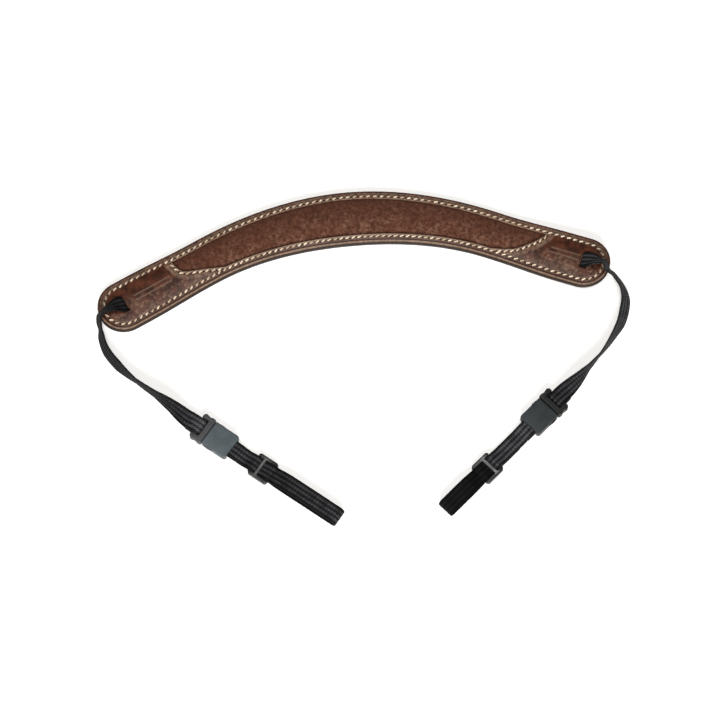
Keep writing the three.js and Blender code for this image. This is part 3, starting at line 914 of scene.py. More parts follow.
def floor_material(settings):
    """White paper that glows faintly, so that shadows on it stay pale."""
    graph = Graph("floor paper")
    graph.set(
        Base_Color=settings.floor,
        Roughness=0.9,
        Specular_IOR_Level=0.1,
        Emission_Color=(1.0, 1.0, 1.0),
        Emission_Strength=0.28,
    )
    return graph.material


# ------------------------------------------------------------------ the yoke's pieces
def row_terms(plan, rows, pitch):
    """Each plan point's offset from the nearest stitch row, signed, and its place along it counted in
    stitches, whose ends fall on whole numbers."""
    offset = np.full(len(plan), np.inf)
    count = np.zeros(len(plan))
    for row in rows:
        far, side, run = nearest_on(plan, row)
        total = run_along(row)[-1]
        closer = far < np.abs(offset)
        offset = np.where(closer, far * np.where(side < 0, -1.0, 1.0), offset)
        count = np.where(closer, run / total * round(total / pitch), count)
    return offset, count


def border_attributes(obj, settings, rows, pitch):
    """Stores each point's place between the outline and the window and beside the stitch rows."""
    window = border_lines(settings)[1]
    plan = yoke_terms(points_of(obj))
    along, across = plan.T
    offset, count = row_terms(plan, rows, pitch)
    put_attribute(obj, "from_outline", from_outline(along, across))
    put_attribute(obj, "from_window", distance_to(plan, window))
    put_attribute(obj, "outer_share", outer_share(along, across))
    put_attribute(obj, "row_offset", offset)
    put_attribute(obj, "row_count", count)
    face = leather_top(along, across) + curl(along)
    sunk = face - points_of(obj)[:, 2] > settings.tooled_depth / MM - 0.02
    near = np.zeros(len(plan), bool)
    round_about, beside = 1.0, 3.0
    for start, stop, middle in TOOLED:
        between = (along > start - round_about) & (along < stop + round_about)
        near |= between & (np.abs(across - middle) < beside)
    put_attribute(obj, "tooled", sunk & near)


def bell(distance, width):
    """exp(-(distance / width)^2)."""
    return np.exp(-((distance / width) ** 2))


def leather_relief(settings, plan, rim, rows, pitch):
    """Height of the border's face over its plain surface: pulled down in a bell curve along each
    stitch row and again at each needle hole, pressed down at the crease, raised at the window."""
    edge = from_outline(plan[:, 0], plan[:, 1])
    offset, count = row_terms(plan, rows, pitch)
    hole = np.hypot(offset, (count - np.round(count)) * pitch)
    groove_width, hole_depth, crease_width, bead_at, bead_width = 0.8, 0.35, 0.3, 0.75, 0.5
    relief = -settings.groove / MM * bell(offset, groove_width)
    relief -= hole_depth * bell(hole, settings.hole / MM)
    relief -= settings.crease / MM * bell(edge - settings.crease_inset / MM, crease_width)
    return relief + settings.bead / MM * bell(rim - bead_at, bead_width)


def border_shape(settings, rows, pitch):
    """The border as a ring: closed lines from the outline to the window over the face, and back
    under it. Columns near the outline and the window are offsets along their normals, and those
    between divide what is left. Each column has its kind, its offset in millimetres or its share,
    the face it lies on and how far it is raised over that face."""
    outer_round, outer_drop, inner_round, chamfer = 1.2, 0.85, 0.4, 0.25
    band_columns, band_crowding, middle_columns, rim_columns = 20, 1.2, 16, 12
    rim_width, lap, side_reach, end_reach, widening = 2.9, 2.6, 3.0, 6.4, 8.0
    outline, window = border_lines(settings)
    smooth = window
    for _ in range(3):
        smooth = 0.5 * smooth + 0.25 * (np.roll(smooth, 1, 0) + np.roll(smooth, -1, 0))
    inward = normals_of(outline)
    outward = -normals_of(smooth)
    arc = np.linspace(0.0, math.pi / 2, 5)
    band = np.linspace(0.0, 1.0, band_columns + 1)[1:] ** band_crowding
    middle = np.linspace(0.0, 1.0, middle_columns + 2)[1:-1]
    columns = [("outline", chamfer, "low", 0.0), ("outline", 0.0, "low", 0.3)]
    columns += [
        ("outline", outer_round * (1 - math.sin(a)), "top", -outer_drop * (1 - math.cos(a)))
        for a in arc[::-1]
    ]
    columns += [("band", share, "top", 0.0) for share in band]
    columns += [("middle", share, "top", 0.0) for share in middle]
    columns += [("rim", d, "top", 0.0) for d in np.linspace(rim_width, inner_round, rim_columns)]
    columns += [
        ("rim", inner_round * (1 - math.sin(a)), "top", -inner_round * (1 - math.cos(a)))
        for a in arc[1:]
    ]
    columns += [("rim", 0.0, "low", 0.2), ("rim", chamfer, "low", 0.0), ("rim", lap, "low", 0.0)]
    gap = np.linalg.norm(outline - smooth, axis=1)
    widen = smoothstep((gap - settings.border / MM) / widening)
    reach = side_reach + (end_reach - side_reach) * widen
    band_end = outline + inward * reach[:, None]
    rim_start = smooth + outward * rim_width
    rings = []
    for kind, value, level, lift in columns:
        if kind == "outline":
            plan = outline + inward * value
        elif kind == "band":
            plan = outline + inward * (outer_round + (reach - outer_round) * value)[:, None]
        elif kind == "middle":
            plan = band_end + (rim_start - band_end) * value
        else:
            plan = smooth + outward * value
        along, across = plan[:, 0], plan[:, 1]
        if level == "top":
            rim = distance_to(plan, window)
            lift = lift + leather_relief(settings, plan, rim, rows, pitch)
        surface = leather_top if level == "top" else leather_low
        rings.append(yoke_points(along, across, surface(along, across) + lift))
    points = np.stack(rings, 1)
    return points.reshape(-1, 3), [grid_faces(*points.shape[:2], True, True)]


def slot_outline(end):
    """The slot in yoke terms: a rectangle with round corners."""
    a, b, c = SLOT_ALONG / 2, SLOT_ACROSS / 2, SLOT_CORNER
    turn = np.linspace(0.0, math.pi / 2, 5)
    corner = np.stack([a - c + c * np.cos(turn), b - c + c * np.sin(turn)], -1)
    quarters = [corner, corner[::-1] * (-1, 1), corner * (-1, -1), corner[::-1] * (1, -1)]
    return np.vstack(quarters) + (end * SLOT_AT, SLOT_SIDE)


def tooled_outline(start, stop, across, half):
    """A long narrow stadium in yoke terms, the outline of one tooled line."""
    tip = half_circle(half, 7)
    right, left = tip + (stop, 0), (start, 0) - tip
    straight = np.linspace(stop, start, 16)[1:-1]
    side = np.stack([straight, np.full(len(straight), -half)], -1)
    outline = np.vstack([right, side, left, side[::-1] * (1, -1)])
    return outline[::-1] + (0.0, across)


def leather_cutter(settings):
    """Everything cut from the border: the two slots, right through, and the tooled lines on the end
    patches, which are shallow. Each is a prism over its outline."""
    under, over = -2.0, 3.0
    cuts = [(slot_outline(end), None) for end in (-1, 1)]
    for start, stop, middle in TOOLED:
        for shift in (-TOOLED_APART, TOOLED_APART):
            line = tooled_outline(start, stop, middle + shift, settings.tooled / MM / 2)
            cuts.append((line, settings.tooled_depth / MM))
    prisms = []
    for line, depth in cuts:
        face = leather_top(*line.T)
        low = np.full(len(line), under) if depth is None else face - depth
        points = np.vstack([yoke_points(*line.T, height) for height in (low, face + over)])
        first = np.arange(len(line))[None]
        sides = grid_faces(2, len(line), False, True)
        prisms.append((points, [sides, first[:, ::-1], first + len(line)]))
    return mend(mesh_object("leather_cutter", *joined(prisms)))


def cut_away(obj, cutter):
    """Subtracts the cutter's body, deletes the cutter and divides the many-sided faces that the cut
    leaves into even triangles."""
    cut = obj.modifiers.new("Slot", "BOOLEAN")
    cut.operation, cut.solver, cut.object = "DIFFERENCE", "EXACT", cutter
    apply_modifiers(obj)
    bpy.data.objects.remove(cutter)
    with opened(obj) as work:
        many_sided = [face for face in work.faces if len(face.verts) > 4]
        bmesh.ops.triangulate(work, faces=many_sided, ngon_method="BEAUTY")


def level_at(height):
    """A surface that is level at one height."""

    def surface(along, across):
        return np.full(len(along), height)

    return surface


def sheet_shape(low, high, inset, rounding, inner_steps, spacing):
    """A closed body between two heights inside the outline: lines from the middle line of the yoke
    out to the edge over the face, round it, and back underneath."""
    count = int(math.pi * END_RADIUS / spacing) // 2 * 2
    right = half_circle(END_RADIUS, count + 1) + (STRAIGHT, 0)
    left = (right * (-1, 1))[::-1]
    outer, inner = (
        outline_section(-STRAIGHT, STRAIGHT, side, int(2 * STRAIGHT / spacing) + 1) for side in (1, -1)
    )
    outline = np.vstack([outer[:-1], right[:-1], inner[:0:-1], left[:-1]])[::-1]
    spine = np.stack([np.clip(outline[:, 0], -STRAIGHT, STRAIGHT), 0 * outline[:, 0]], -1)
    inward = normals_of(outline)
    edge = outline + inward * inset
    arc = np.linspace(0.0, math.pi / 2, 4)
    inner = edge + inward * rounding
    rings = [
        (spine + (inner - spine) * share, high, 0.0) for share in np.linspace(0.0, 1.0, inner_steps)
    ]
    for level, angles, sign in ((high, arc[1:], -1), (low, arc[::-1], 1)):
        for a in angles:
            plan = edge + inward * rounding * (1 - math.sin(a))
            rings.append((plan, level, sign * rounding * (1 - math.cos(a))))
    rings += [
        (spine + (inner - spine) * share, low, 0.0)
        for share in np.linspace(1.0, 0.0, inner_steps)[1:]
    ]
    points = [yoke_points(*plan.T, level(*plan.T) + lift) for plan, level, lift in rings]
    points = np.stack(points, 1)
    return points.reshape(-1, 3), [grid_faces(*points.shape[:2], True, False)]


def inside_line(points, line):
    """True for plan points inside a closed line, by counting the segments crossed to the right."""
    a, b = line, np.roll(line, -1, 0)
    x, y = points[:, :1], points[:, 1:]
    crosses = (a[:, 1] > y) != (b[:, 1] > y)
    drop = np.where(b[:, 1] == a[:, 1], 1e-9, b[:, 1] - a[:, 1])
    at = a[:, 0] + (y - a[:, 1]) / drop * (b[:, 0] - a[:, 0])
    return (np.sum(crosses & (x < at), 1) % 2) == 1


def window_face(points, window):
    """Which of the padding's points lie on its face inside the window, and how far each point is
    from the window's edge in plan."""
    below_top = 0.05
    plan = yoke_terms(points)
    along, across = plan.T
    on_face = points[:, 2] - curl(along) > pad_top(along, across) - below_top
    return inside_line(plan, window) & on_face, distance_to(plan, window)


# The padding's cover as cloth under pressure.
COVER = {
    "quality": 4,
    "mass": 0.3,
    "tension_stiffness": 12.0,
    "compression_stiffness": 12.0,
    "shear_stiffness": 6.0,
    "bending_stiffness": 0.4,
    "use_pressure": True,
    "uniform_pressure_force": 18.0,
    "vertex_group_mass": "held",
    "pin_stiffness": 1.0,
}
COVER_STEPS, COVER_SCALE, COVER_HELD = 16, 10.0, 0.3


def swell(obj, window, most_mm):
    """Fills the padding: cloth under pressure, held outside the window, run ten times its size so
    that its edges suit the solver, and with its rise limited."""
    start = points_of(obj)
    face, rim = window_face(start, window)
    free = face & (rim > COVER_HELD)
    group = obj.vertex_groups.new(name="held")
    group.add(np.flatnonzero(~free).tolist(), 1.0, "REPLACE")
    put_points(obj, start * COVER_SCALE)
    cloth = obj.modifiers.new("Fill", "CLOTH")
    for key, value in COVER.items():
        setattr(cloth.settings, key, value)
    cloth.settings.effector_weights.gravity = 0.0
    cloth.collision_settings.use_collision = False
    cloth.collision_settings.use_self_collision = False
    cloth.point_cache.frame_start, cloth.point_cache.frame_end = 1, COVER_STEPS
    scene = bpy.context.scene
    for step in range(1, COVER_STEPS + 1):
        scene.frame_set(step)
    apply_modifiers(obj)
    scene.frame_set(1)
    moved = points_of(obj) / COVER_SCALE - start
    far = np.linalg.norm(moved, axis=1, keepdims=True)
    moved *= np.minimum(1.0, most_mm / np.maximum(far, 1e-6))
    moved[~free] = 0.0
    put_points(obj, start + moved)


# ------------------------------------------------------------------ stitches
def stitch_rows(settings):
    """The stitched lines in yoke terms: one round the outline, and one beside each end of the
    window, which stops where it comes near the first."""
    between_rows, round_samples, end_samples = 0.9, 4000, 800
    outline, window = border_lines(settings, spacing=0.5)
    round_row = outline + normals_of(outline) * settings.row_inset / MM
    offset = window - normals_of(window) * settings.second_row / MM
    clear = from_outline(*offset.T) > settings.row_inset / MM + between_rows
    rows = [closed_up(resample(round_row, round_samples, closed=True))]
    for end in (-1, 1):
        index = np.flatnonzero(clear & (np.sign(offset[:, 0]) == end))
        breaks = np.flatnonzero(np.diff(index) > 1)
        if len(breaks):
            index = np.concatenate([index[breaks[0] + 1 :], index[: breaks[0] + 1]])
        rows.append(resample(offset[index], end_samples))
    return rows


def stitches(line, pitch, surface, underside):
    """Centres, directions and normals of stitches at equal steps along a line in yoke terms. The
    direction and the normal come from points a short way ahead and to the left on the surface."""
    nearby, fine = 0.4, 20

    def lifted(plan):
        return yoke_points(*plan.T, surface(*plan.T))

    count = int(round(run_along(line)[-1] / pitch))
    centres = resample(line, count * 2 + 1)[1::2]
    along = np.gradient(resample(line, count * fine + 1), axis=0)[fine // 2 :: fine]
    forward = unit(along)
    left = np.stack([-forward[:, 1], forward[:, 0]], -1)
    place = lifted(centres)
    tangent = unit(lifted(centres + forward * nearby) - place)
    normal = unit(np.cross(tangent, lifted(centres + left * nearby) - place))
    return place, tangent, -normal if underside else normal


def stitch_mesh(name, settings, thread, place, tangent, normal, slant):
    """Each stitch is a short thread: a ring of points carried along an arc that rises out of the
    leather and dips back in, thinner at its ends. Its height falls with the fourth power of the
    distance from its middle and dips with the eighth, and its girth falls with the sixth. Slants and
    lengths vary a little."""
    random = np.random.default_rng(SEED)
    count = len(place)
    rings, sides, sink = 9, 8, 0.25
    uneven_slant, uneven_length = 0.09, 0.04
    v = np.linspace(-1.0, 1.0, rings)
    turn = np.linspace(0.0, 2 * math.pi, sides, endpoint=False)
    radius = thread / MM / 2
    half = settings.length / MM / 2
    angle = slant + random.normal(0.0, uneven_slant, count)
    reach = half * (1 + random.normal(0.0, uneven_length, count))
    bend = np.cross(normal, tangent)
    along = tangent * np.cos(angle)[:, None] + bend * np.sin(angle)[:, None]
    aside = np.cross(normal, along)
    rise = radius * 0.75 * (1 - v**4) - (radius * 0.9 + sink) * v**8
    girth = radius * (1 - 0.35 * v**6)
    centre = (
        place[:, None, :]
        + along[:, None, :] * (reach[:, None] * v)[..., None]
        + normal[:, None, :] * rise[None, :, None]
    )
    ring = (
        aside[:, None, None, :] * (np.cos(turn) * girth[:, None])[None, ..., None]
        + normal[:, None, None, :] * (np.sin(turn) * girth[:, None])[None, ..., None]
    )
    points = (centre[:, :, None, :] + ring).reshape(-1, 3)
    starts = (np.arange(count) * rings * sides)[:, None]
    one = grid_faces(rings, sides, False, True)[:, ::-1]
    body = (one[None] + starts[..., None]).reshape(-1, 4)
    first = np.arange(sides)
    last = first[::-1] + (rings - 1) * sides
    obj = mesh_object(name, points, [body, starts + first, starts + last])
    along_uv = np.tile(np.repeat(v * half, sides), count)
    across_uv = np.tile(np.tile(turn / (2 * math.pi), rings), count)
    put_uv(obj, along_uv, across_uv)
    put_attribute(obj, "tone", np.repeat(random.uniform(0.0, 1.0, count), rings * sides))
    return mend(obj)


# ------------------------------------------------------------------ webbing
# Tab under the border and up through the slot: distance along the yoke, height, and twist in degrees.
TAB_RUN = [
    (151.0, 2.5, 0),
    (156.5, 2.5, 0),
    (160.0, 3.1, 0),
    (162.8, 5.1, 0),
    (165.6, 7.1, 8),
    (168.2, 8.5, 24),
    (171.0, 9.6, 42),
    (175.5, 10.0, 56),
]
# Free run from the tab to the buckle: plan x and y, height, and twist in degrees from lying flat.
FREE_RUN = {
    "left": [
        (-171.9, 28.0, 9.8, 63),
        (-172.4, 24.7, 8.5, 74),
        (-171.5, 20.0, 6.7, 80),
        (-170.8, 14.7, 5.9, 70),
        (-167.5, 5.0, 5.6, 69),
        (-159.1, -5.9, 5.7, 71),
        (-147.0, -16.7, 6.0, 93),
        (-135.0, -25.4, 5.9, 85),
        (-123.1, -34.0, 5.4, 58),
    ],
    "right": [
        (164.0, 57.6, 16.3, 60),
        (167.2, 55.3, 15.2, 62),
        (170.5, 52.3, 12.4, 64),
        (173.3, 49.0, 9.6, 64),
        (175.2, 44.8, 7.6, 60),
        (176.0, 40.0, 6.3, 57),
        (174.7, 31.8, 5.6, 57),
        (172.7, 25.1, 5.5, 62),
        (168.9, 17.9, 5.8, 74),
        (163.8, 9.6, 5.9, 84),
        (157.7, 1.3, 6.0, 95),
        (150.9, -6.7, 5.9, 86),
        (144.2, -14.1, 5.4, 62),
    ],
}
# Which end of the yoke each side is, its buckle's middle and heading, the heading of the webbing past
# the buckle, how far past the buckle's middle the slider and the loop's end are, and the tail's length.
LAID = {
    "left": {
        "end": -1,
        "buckle": (-94.9, -54.7, -35.0),
        "strap": -34.3,
        "slider": 38.4,
        "loop": 99.2,
        "tail": 5.0,
    },
    "right": {
        "end": 1,
        "buckle": (120.3, -37.8, -134.4),
        "strap": -134.4,
        "slider": 53.4,
        "loop": 93.6,
        "tail": 12.0,
    },
}
BUCKLE_HALF = 14.25  # half the length of a closed buckle
# The webbing round each bar: distance from the buckle's middle, radius and height of the half circle.
PLUG_WRAP, SOCKET_WRAP = (12.0, 2.25, 3.3), (12.2, 1.6, 2.7)
# Past a bar: where both ends of its wrap are straight, where the lower one ends, and a small lift.
TUCK_NEAR, TUCK_FAR, TUCK_LIFT = 2.4, 8.2, 0.05
# Before the plug: distance from its end, height and twist. After the socket: distance and height.
ARRIVING = [(8.4, 3.6, 26), (4.2, 4.6, 5)]
LEAVING = [(4.2, 3.6), (8.2, 2.4)]
# Over and under the slider's bars: distance from its middle, and height midway between both layers.
WEAVE = np.array(
    [
        (-12.5, 1.5),
        (-9.6, 2.3),
        (-6.9, 3.05),
        (-5.7, 2.8),
        (-4.45, 2.22),
        (-3.1, 1.6),
        (-1.9, 1.5),
        (-0.5, 1.62),
        (2.4, 2.35),
        (5.2, 3.05),
        (7.6, 3.05),
    ]
)
# Heights of the lug loop, how far past the slider its layers part and become level, a small lift, and
# the straight length before the fold at its end.
LOOP_LOW, LOOP_HIGH, LOOP_MIDWAY = 0.7, 6.9, 5.6
OPEN_BY, LEVEL_BY, CLOSE_BY, LOOP_LIFT, LOOP_STRAIGHT = 19.0, 17.0, 13.0, 0.25, 4.0
# How much painted sheen, with some wear where it bends round the bars, lightens the webbing: distance
# beyond the middle of its buckle, and share of the light yarn.
SHEEN_AND_WEAR = {
    ("yoke", "left"): [(-30.0, 0.6), (-21.0, 1.0), (-16.0, 2.6)],
    ("yoke", "right"): [(-60.0, 1.5), (-30.0, 0.8), (-20.0, 1.0), (-14.0, 0.8)],
    ("loop", "left"): [(14.0, 1.0), (60.0, 0.8), (95.0, 1.0)],
    ("loop", "right"): [(14.0, 1.8), (46.0, 1.5), (54.0, 0.15)],
}
HALF_TURN = np.radians([90, 60, 30, 0, -30, -60, -90])
UP = np.array([0.0, 0.0, 1.0])


def on_line(start, heading, rows):
    """Points on a straight line in plan from rows of distance along it and height."""
    rows = np.asarray(rows, float)
    x = start[0] - LAYOUT_X + rows[:, 0] * math.cos(heading)
    y = start[1] - LAYOUT_Y + rows[:, 0] * math.sin(heading)
    return np.stack([x, y, rows[:, 1]], -1)


def wrap_rows(centre, radius, level):
    """Distance and height of the webbing round a bar: a half circle with a straight end each side."""
    turn = np.stack(
        [centre - radius * np.cos(HALF_TURN), level + radius * np.sin(HALF_TURN)], -1
    )
    return np.vstack(
        [
            [(centre + TUCK_NEAR, level + radius - 2 * TUCK_LIFT)],
            turn,
            [(centre + TUCK_NEAR, level - radius - TUCK_LIFT)],
            [(centre + TUCK_FAR, LOOP_LOW + TUCK_LIFT)],
        ]
    )


def standing(flat, twist):
    """Width directions turned up from lying flat by twist degrees."""
    turn = np.radians(np.asarray(twist, float))[:, None]
    return flat * np.cos(turn) + UP * np.sin(turn)


def yoke_webbing_knots(side):
    """Middle points and width directions from the tab in the yoke to the plug of the buckle."""
    laid = LAID[side]
    end, heading = laid["end"], math.radians(laid["buckle"][2])
    tab = np.array(TAB_RUN)
    along = end * tab[:, 0]
    tab_points = yoke_points(along, np.full(len(tab), SLOT_SIDE), tab[:, 1])
    _, _, ox, oy = middle_line(along)
    tab_across = standing(np.stack([-ox, -oy, 0 * ox], -1), tab[:, 2])
    run = np.array(FREE_RUN[side], float)
    run_points = run[:, :3] - (LAYOUT_X, LAYOUT_Y, 0.0)
    flat = np.array([math.sin(heading), -math.cos(heading), 0.0]) * end
    arriving = np.array(ARRIVING)
    rows = np.vstack([arriving[:, :2] + (BUCKLE_HALF, 0.0), wrap_rows(*PLUG_WRAP)])
    wrap_points = on_line(laid["buckle"], heading + math.pi, rows)
    twists = np.concatenate([arriving[:, 2], np.zeros(len(rows) - len(arriving))])
    wrap_across = standing(np.tile(flat, (len(rows), 1)), twists)
    route = np.vstack([tab_points[-1:], run_points, wrap_points[:1]])
    ahead = unit(route[2:, :2] - route[:-2, :2])
    inner = -end * np.stack([-ahead[:, 1], ahead[:, 0], 0 * ahead[:, 0]], -1)
    points = np.vstack([tab_points, run_points, wrap_points])
    return points, np.vstack([tab_across, standing(inner, run[:, 3]), wrap_across])


def loop_webbing_knots(side, thick):
    """Middle points and width directions from the socket through the slider, round the lug loop and
    back through the slider."""
    laid = LAID[side]
    heading, slider = math.radians(laid["strap"]), laid["slider"]
    slope = np.arctan2(np.gradient(WEAVE[:, 1]), np.gradient(WEAVE[:, 0]))
    lean = np.stack([-np.sin(slope), np.cos(slope)], -1)
    over, under = (WEAVE + (slider, 0) + k * (thick + GAP) / 2 * lean for k in (1, -1))
    radius = (LOOP_HIGH - LOOP_LOW) / 2
    fold_at = laid["loop"] - radius - thick / 2
    fold = np.stack(
        [fold_at + radius * np.cos(HALF_TURN), LOOP_LOW + radius + radius * np.sin(HALF_TURN)], -1
    )
    rows = np.vstack(
        [
            wrap_rows(*SOCKET_WRAP)[::-1],
            np.array(LEAVING) + (BUCKLE_HALF, 0.0),
            over,
            [(slider + CLOSE_BY, LOOP_MIDWAY), (slider + OPEN_BY, LOOP_HIGH)],
            [(fold_at - LOOP_STRAIGHT, LOOP_HIGH)],
            fold,
            [(fold_at - LOOP_STRAIGHT, LOOP_LOW), (slider + LEVEL_BY, LOOP_LOW)],
            [(slider + CLOSE_BY, LOOP_LOW + LOOP_LIFT)],
            under[::-1],
            [(slider + WEAVE[0, 0] - laid["tail"], LOOP_LOW)],
        ]
    )
    across = np.array([-math.sin(heading), math.cos(heading), 0.0])
    return on_line(laid["buckle"], heading, rows), np.tile(across, (len(rows), 1))


def spline(knots, across, spacing=0.4, steps=24):
    """A centripetal Catmull-Rom curve through the knots, cut at equal lengths, with the width
    directions blended from knot to knot and turned square to the curve."""
    a, b, c, d = spans(knots)
    g0, g1, g2 = (np.linalg.norm(step, axis=1)[:, None] ** 0.5 for step in (b - a, c - b, d - c))
    start = g1 * ((b - a) / g0 - (c - a) / (g0 + g1) + (c - b) / g1)
    stop = g1 * ((c - b) / g1 - (d - b) / (g1 + g2) + (d - c) / g2)
    t = np.linspace(0, 1, steps, endpoint=False)[None, :, None]
    b, c, start, stop = (value[:, None, :] for value in (b, c, start, stop))
    curve = (
        b
        + start * t
        + (3 * (c - b) - 2 * start - stop) * t**2
        + (2 * (b - c) + start + stop) * t**3
    )
    curve = np.vstack([curve.reshape(-1, 3), knots[-1:]])
    wide = across[:-1, None, :] * (1 - t) + across[1:, None, :] * t
    wide = np.vstack([wide.reshape(-1, 3), across[-1:]])
    both = np.hstack([curve, wide])
    length = run_along(curve)
    at = np.linspace(0, length[-1], int(length[-1] / spacing) + 1)
    both = looked_up(at, length, both)
    curve, wide = both[:, :3], both[:, 3:]
    tangent = unit(np.gradient(curve, axis=0))
    wide = unit(wide - tangent * np.sum(wide * tangent, 1, keepdims=True))
    return at, curve, wide, np.cross(tangent, wide)


def webbing_band(name, settings, knots, across):
    """A flat band with round selvedges carried along the knots. Its faces rise and fall with the
    lengthwise ribs and the herringbone steps, and are plain at the selvedges."""
    relief, face_points, edge_points = 0.1, 41, 5
    half, girth = settings.width / MM / 2, settings.thick / MM / 2 - relief
    at, curve, wide, normal = spline(knots, across)
    top = np.linspace(half - girth, girth - half, face_points)
    turn = np.linspace(math.pi / 2, -math.pi / 2, edge_points + 2)[1:-1]
    edge = half - girth + girth * np.cos(turn)
    place = np.concatenate([top, -edge, top[::-1], edge])
    level, round_edge = np.full(face_points, girth), girth * np.sin(turn)
    rise = np.concatenate([level, round_edge, -level, -round_edge])
    plain = np.zeros(edge_points)
    face = np.concatenate([np.ones(face_points), plain, -np.ones(face_points), plain])
    ridge = np.cos(math.pi * place / (settings.ridge_pitch / MM)) ** 2
    column = place / (settings.rib_pitch / MM) + 0.5
    slant = np.abs(column - np.floor(column) - 0.5) * WEAVE_SLANT
    step = at[:, None] / (settings.weave_pitch / MM) + slant[None, :]
    wave = 0.5 - 0.5 * np.cos(2 * math.pi * step)
    lift = face * relief * (0.9 * ridge + 0.6 * wave * (0.4 + 0.6 * ridge))
    points = (
        curve[:, None, :]
        + wide[:, None, :] * place[None, :, None]
        + normal[:, None, :] * (rise[None, :] + lift)[..., None]
    )
    rows, columns = points.shape[:2]
    first = np.arange(columns)[None]
    faces = [grid_faces(rows, columns, False, True), first, first[:, ::-1] + (rows - 1) * columns]
    obj = mesh_object(name, points.reshape(-1, 3), faces)
    put_uv(obj, np.repeat(at, columns), np.tile(place, rows))
    return mend(obj)


# ------------------------------------------------------------------ fittings
def node_copy(node, name):
    """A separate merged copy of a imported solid, with its flat faces joined again."""
    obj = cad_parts[node].copy()
    obj.data = obj.data.copy()
    obj.name = name
    obj.parent = None
    bpy.context.scene.collection.objects.link(obj)
    flat = math.radians(2)
    with opened(obj) as work:
        bmesh.ops.remove_doubles(work, verts=work.verts, dist=0.01 * MM)
        bmesh.ops.dissolve_limit(work, angle_limit=flat, verts=work.verts, edges=work.edges)
    return obj


# Low moulded ribs in a fitting's own axes: middle x, y, z and half sizes.
PLUG_RIBS = [((x, 0.0, 6.45), (0.33, 6.4, 0.3)) for x in (-8.0, -6.7)]
PLUG_RIBS += [((-11.6, y, 6.4), (0.9, 0.28, 0.3)) for y in (-8.2, -7.4, 7.4, 8.2)]
SLIDER_RIBS = [
    ((x, y, 4.35), (0.32, 0.75, 0.28)) for x in (-5.6, -4.2, 0.6, 2.0, 3.4, 4.8) for y in (-7.05, 7.05)
]
# The slider's raised bar in the slider's own axes: middle, half width and half length, and its foot.
# Its painted highlight lies on it.
BAR_AT, BAR_HALF, BAR_REACH, BAR_FOOT = -1.95, 0.95, 6.6, 3.0


def into_own(points, own):
    """Frame points in a fitting's own axes, from its place and turn."""
    x, y, turn = own
    dx, dy = points[:, 0] + LAYOUT_X - x, points[:, 1] + LAYOUT_Y - y
    return np.stack([*turned(dx, dy, -math.radians(turn)), points[:, 2]], -1)


def from_own(points, own):
    """The inverse: points in a fitting's own axes, given back in the frame."""
    x, y, turn = own
    dx, dy = turned(points[:, 0], points[:, 1], math.radians(turn))
    return np.stack([x - LAYOUT_X + dx, y - LAYOUT_Y + dy, points[:, 2]], -1)


def pull(share, power):
    """A sine or cosine drawn towards -1 and 1."""
    return np.sign(share) * np.abs(share) ** power


def pillow(middle, halves):
    """A rounded block: a superellipsoid, whose sines and cosines are drawn towards the corners."""
    rows, columns = 9, 16
    rise = np.linspace(-math.pi / 2, math.pi / 2, rows)[:, None]
    turn = np.linspace(0.0, 2 * math.pi, columns, endpoint=False)[None, :]
    ring = pull(np.cos(rise), 0.6)
    x = ring * pull(np.cos(turn), 0.4) * halves[0]
    y = ring * pull(np.sin(turn), 0.4) * halves[1]
    z = pull(np.sin(rise), 0.6) * halves[2] + 0 * turn
    return np.stack([x, y, z], -1).reshape(-1, 3) + middle, [grid_faces(rows, columns, False, True)]


def add_ribs(obj, ribs, own):
    """Joins rounded ribs to a moulded fitting."""
    points, faces = joined(pillow(*rib) for rib in ribs)
    extra = mend(mesh_object("ribs", from_own(points, own), faces))
    with opened(obj) as work:
        work.from_mesh(extra.data)
    bpy.data.objects.remove(extra)


def round_edges(obj, radius_mm):
    """Rounds all sharp edges, and shades the faces between them flat."""
    bevel = obj.modifiers.new("Moulded edges", "BEVEL")
    bevel.width, bevel.segments = radius_mm * MM, 3
    bevel.limit_method, bevel.angle_limit = "ANGLE", math.radians(25)
    bevel.harden_normals = True
    shade_smooth(obj.data)
    apply_modifiers(obj)


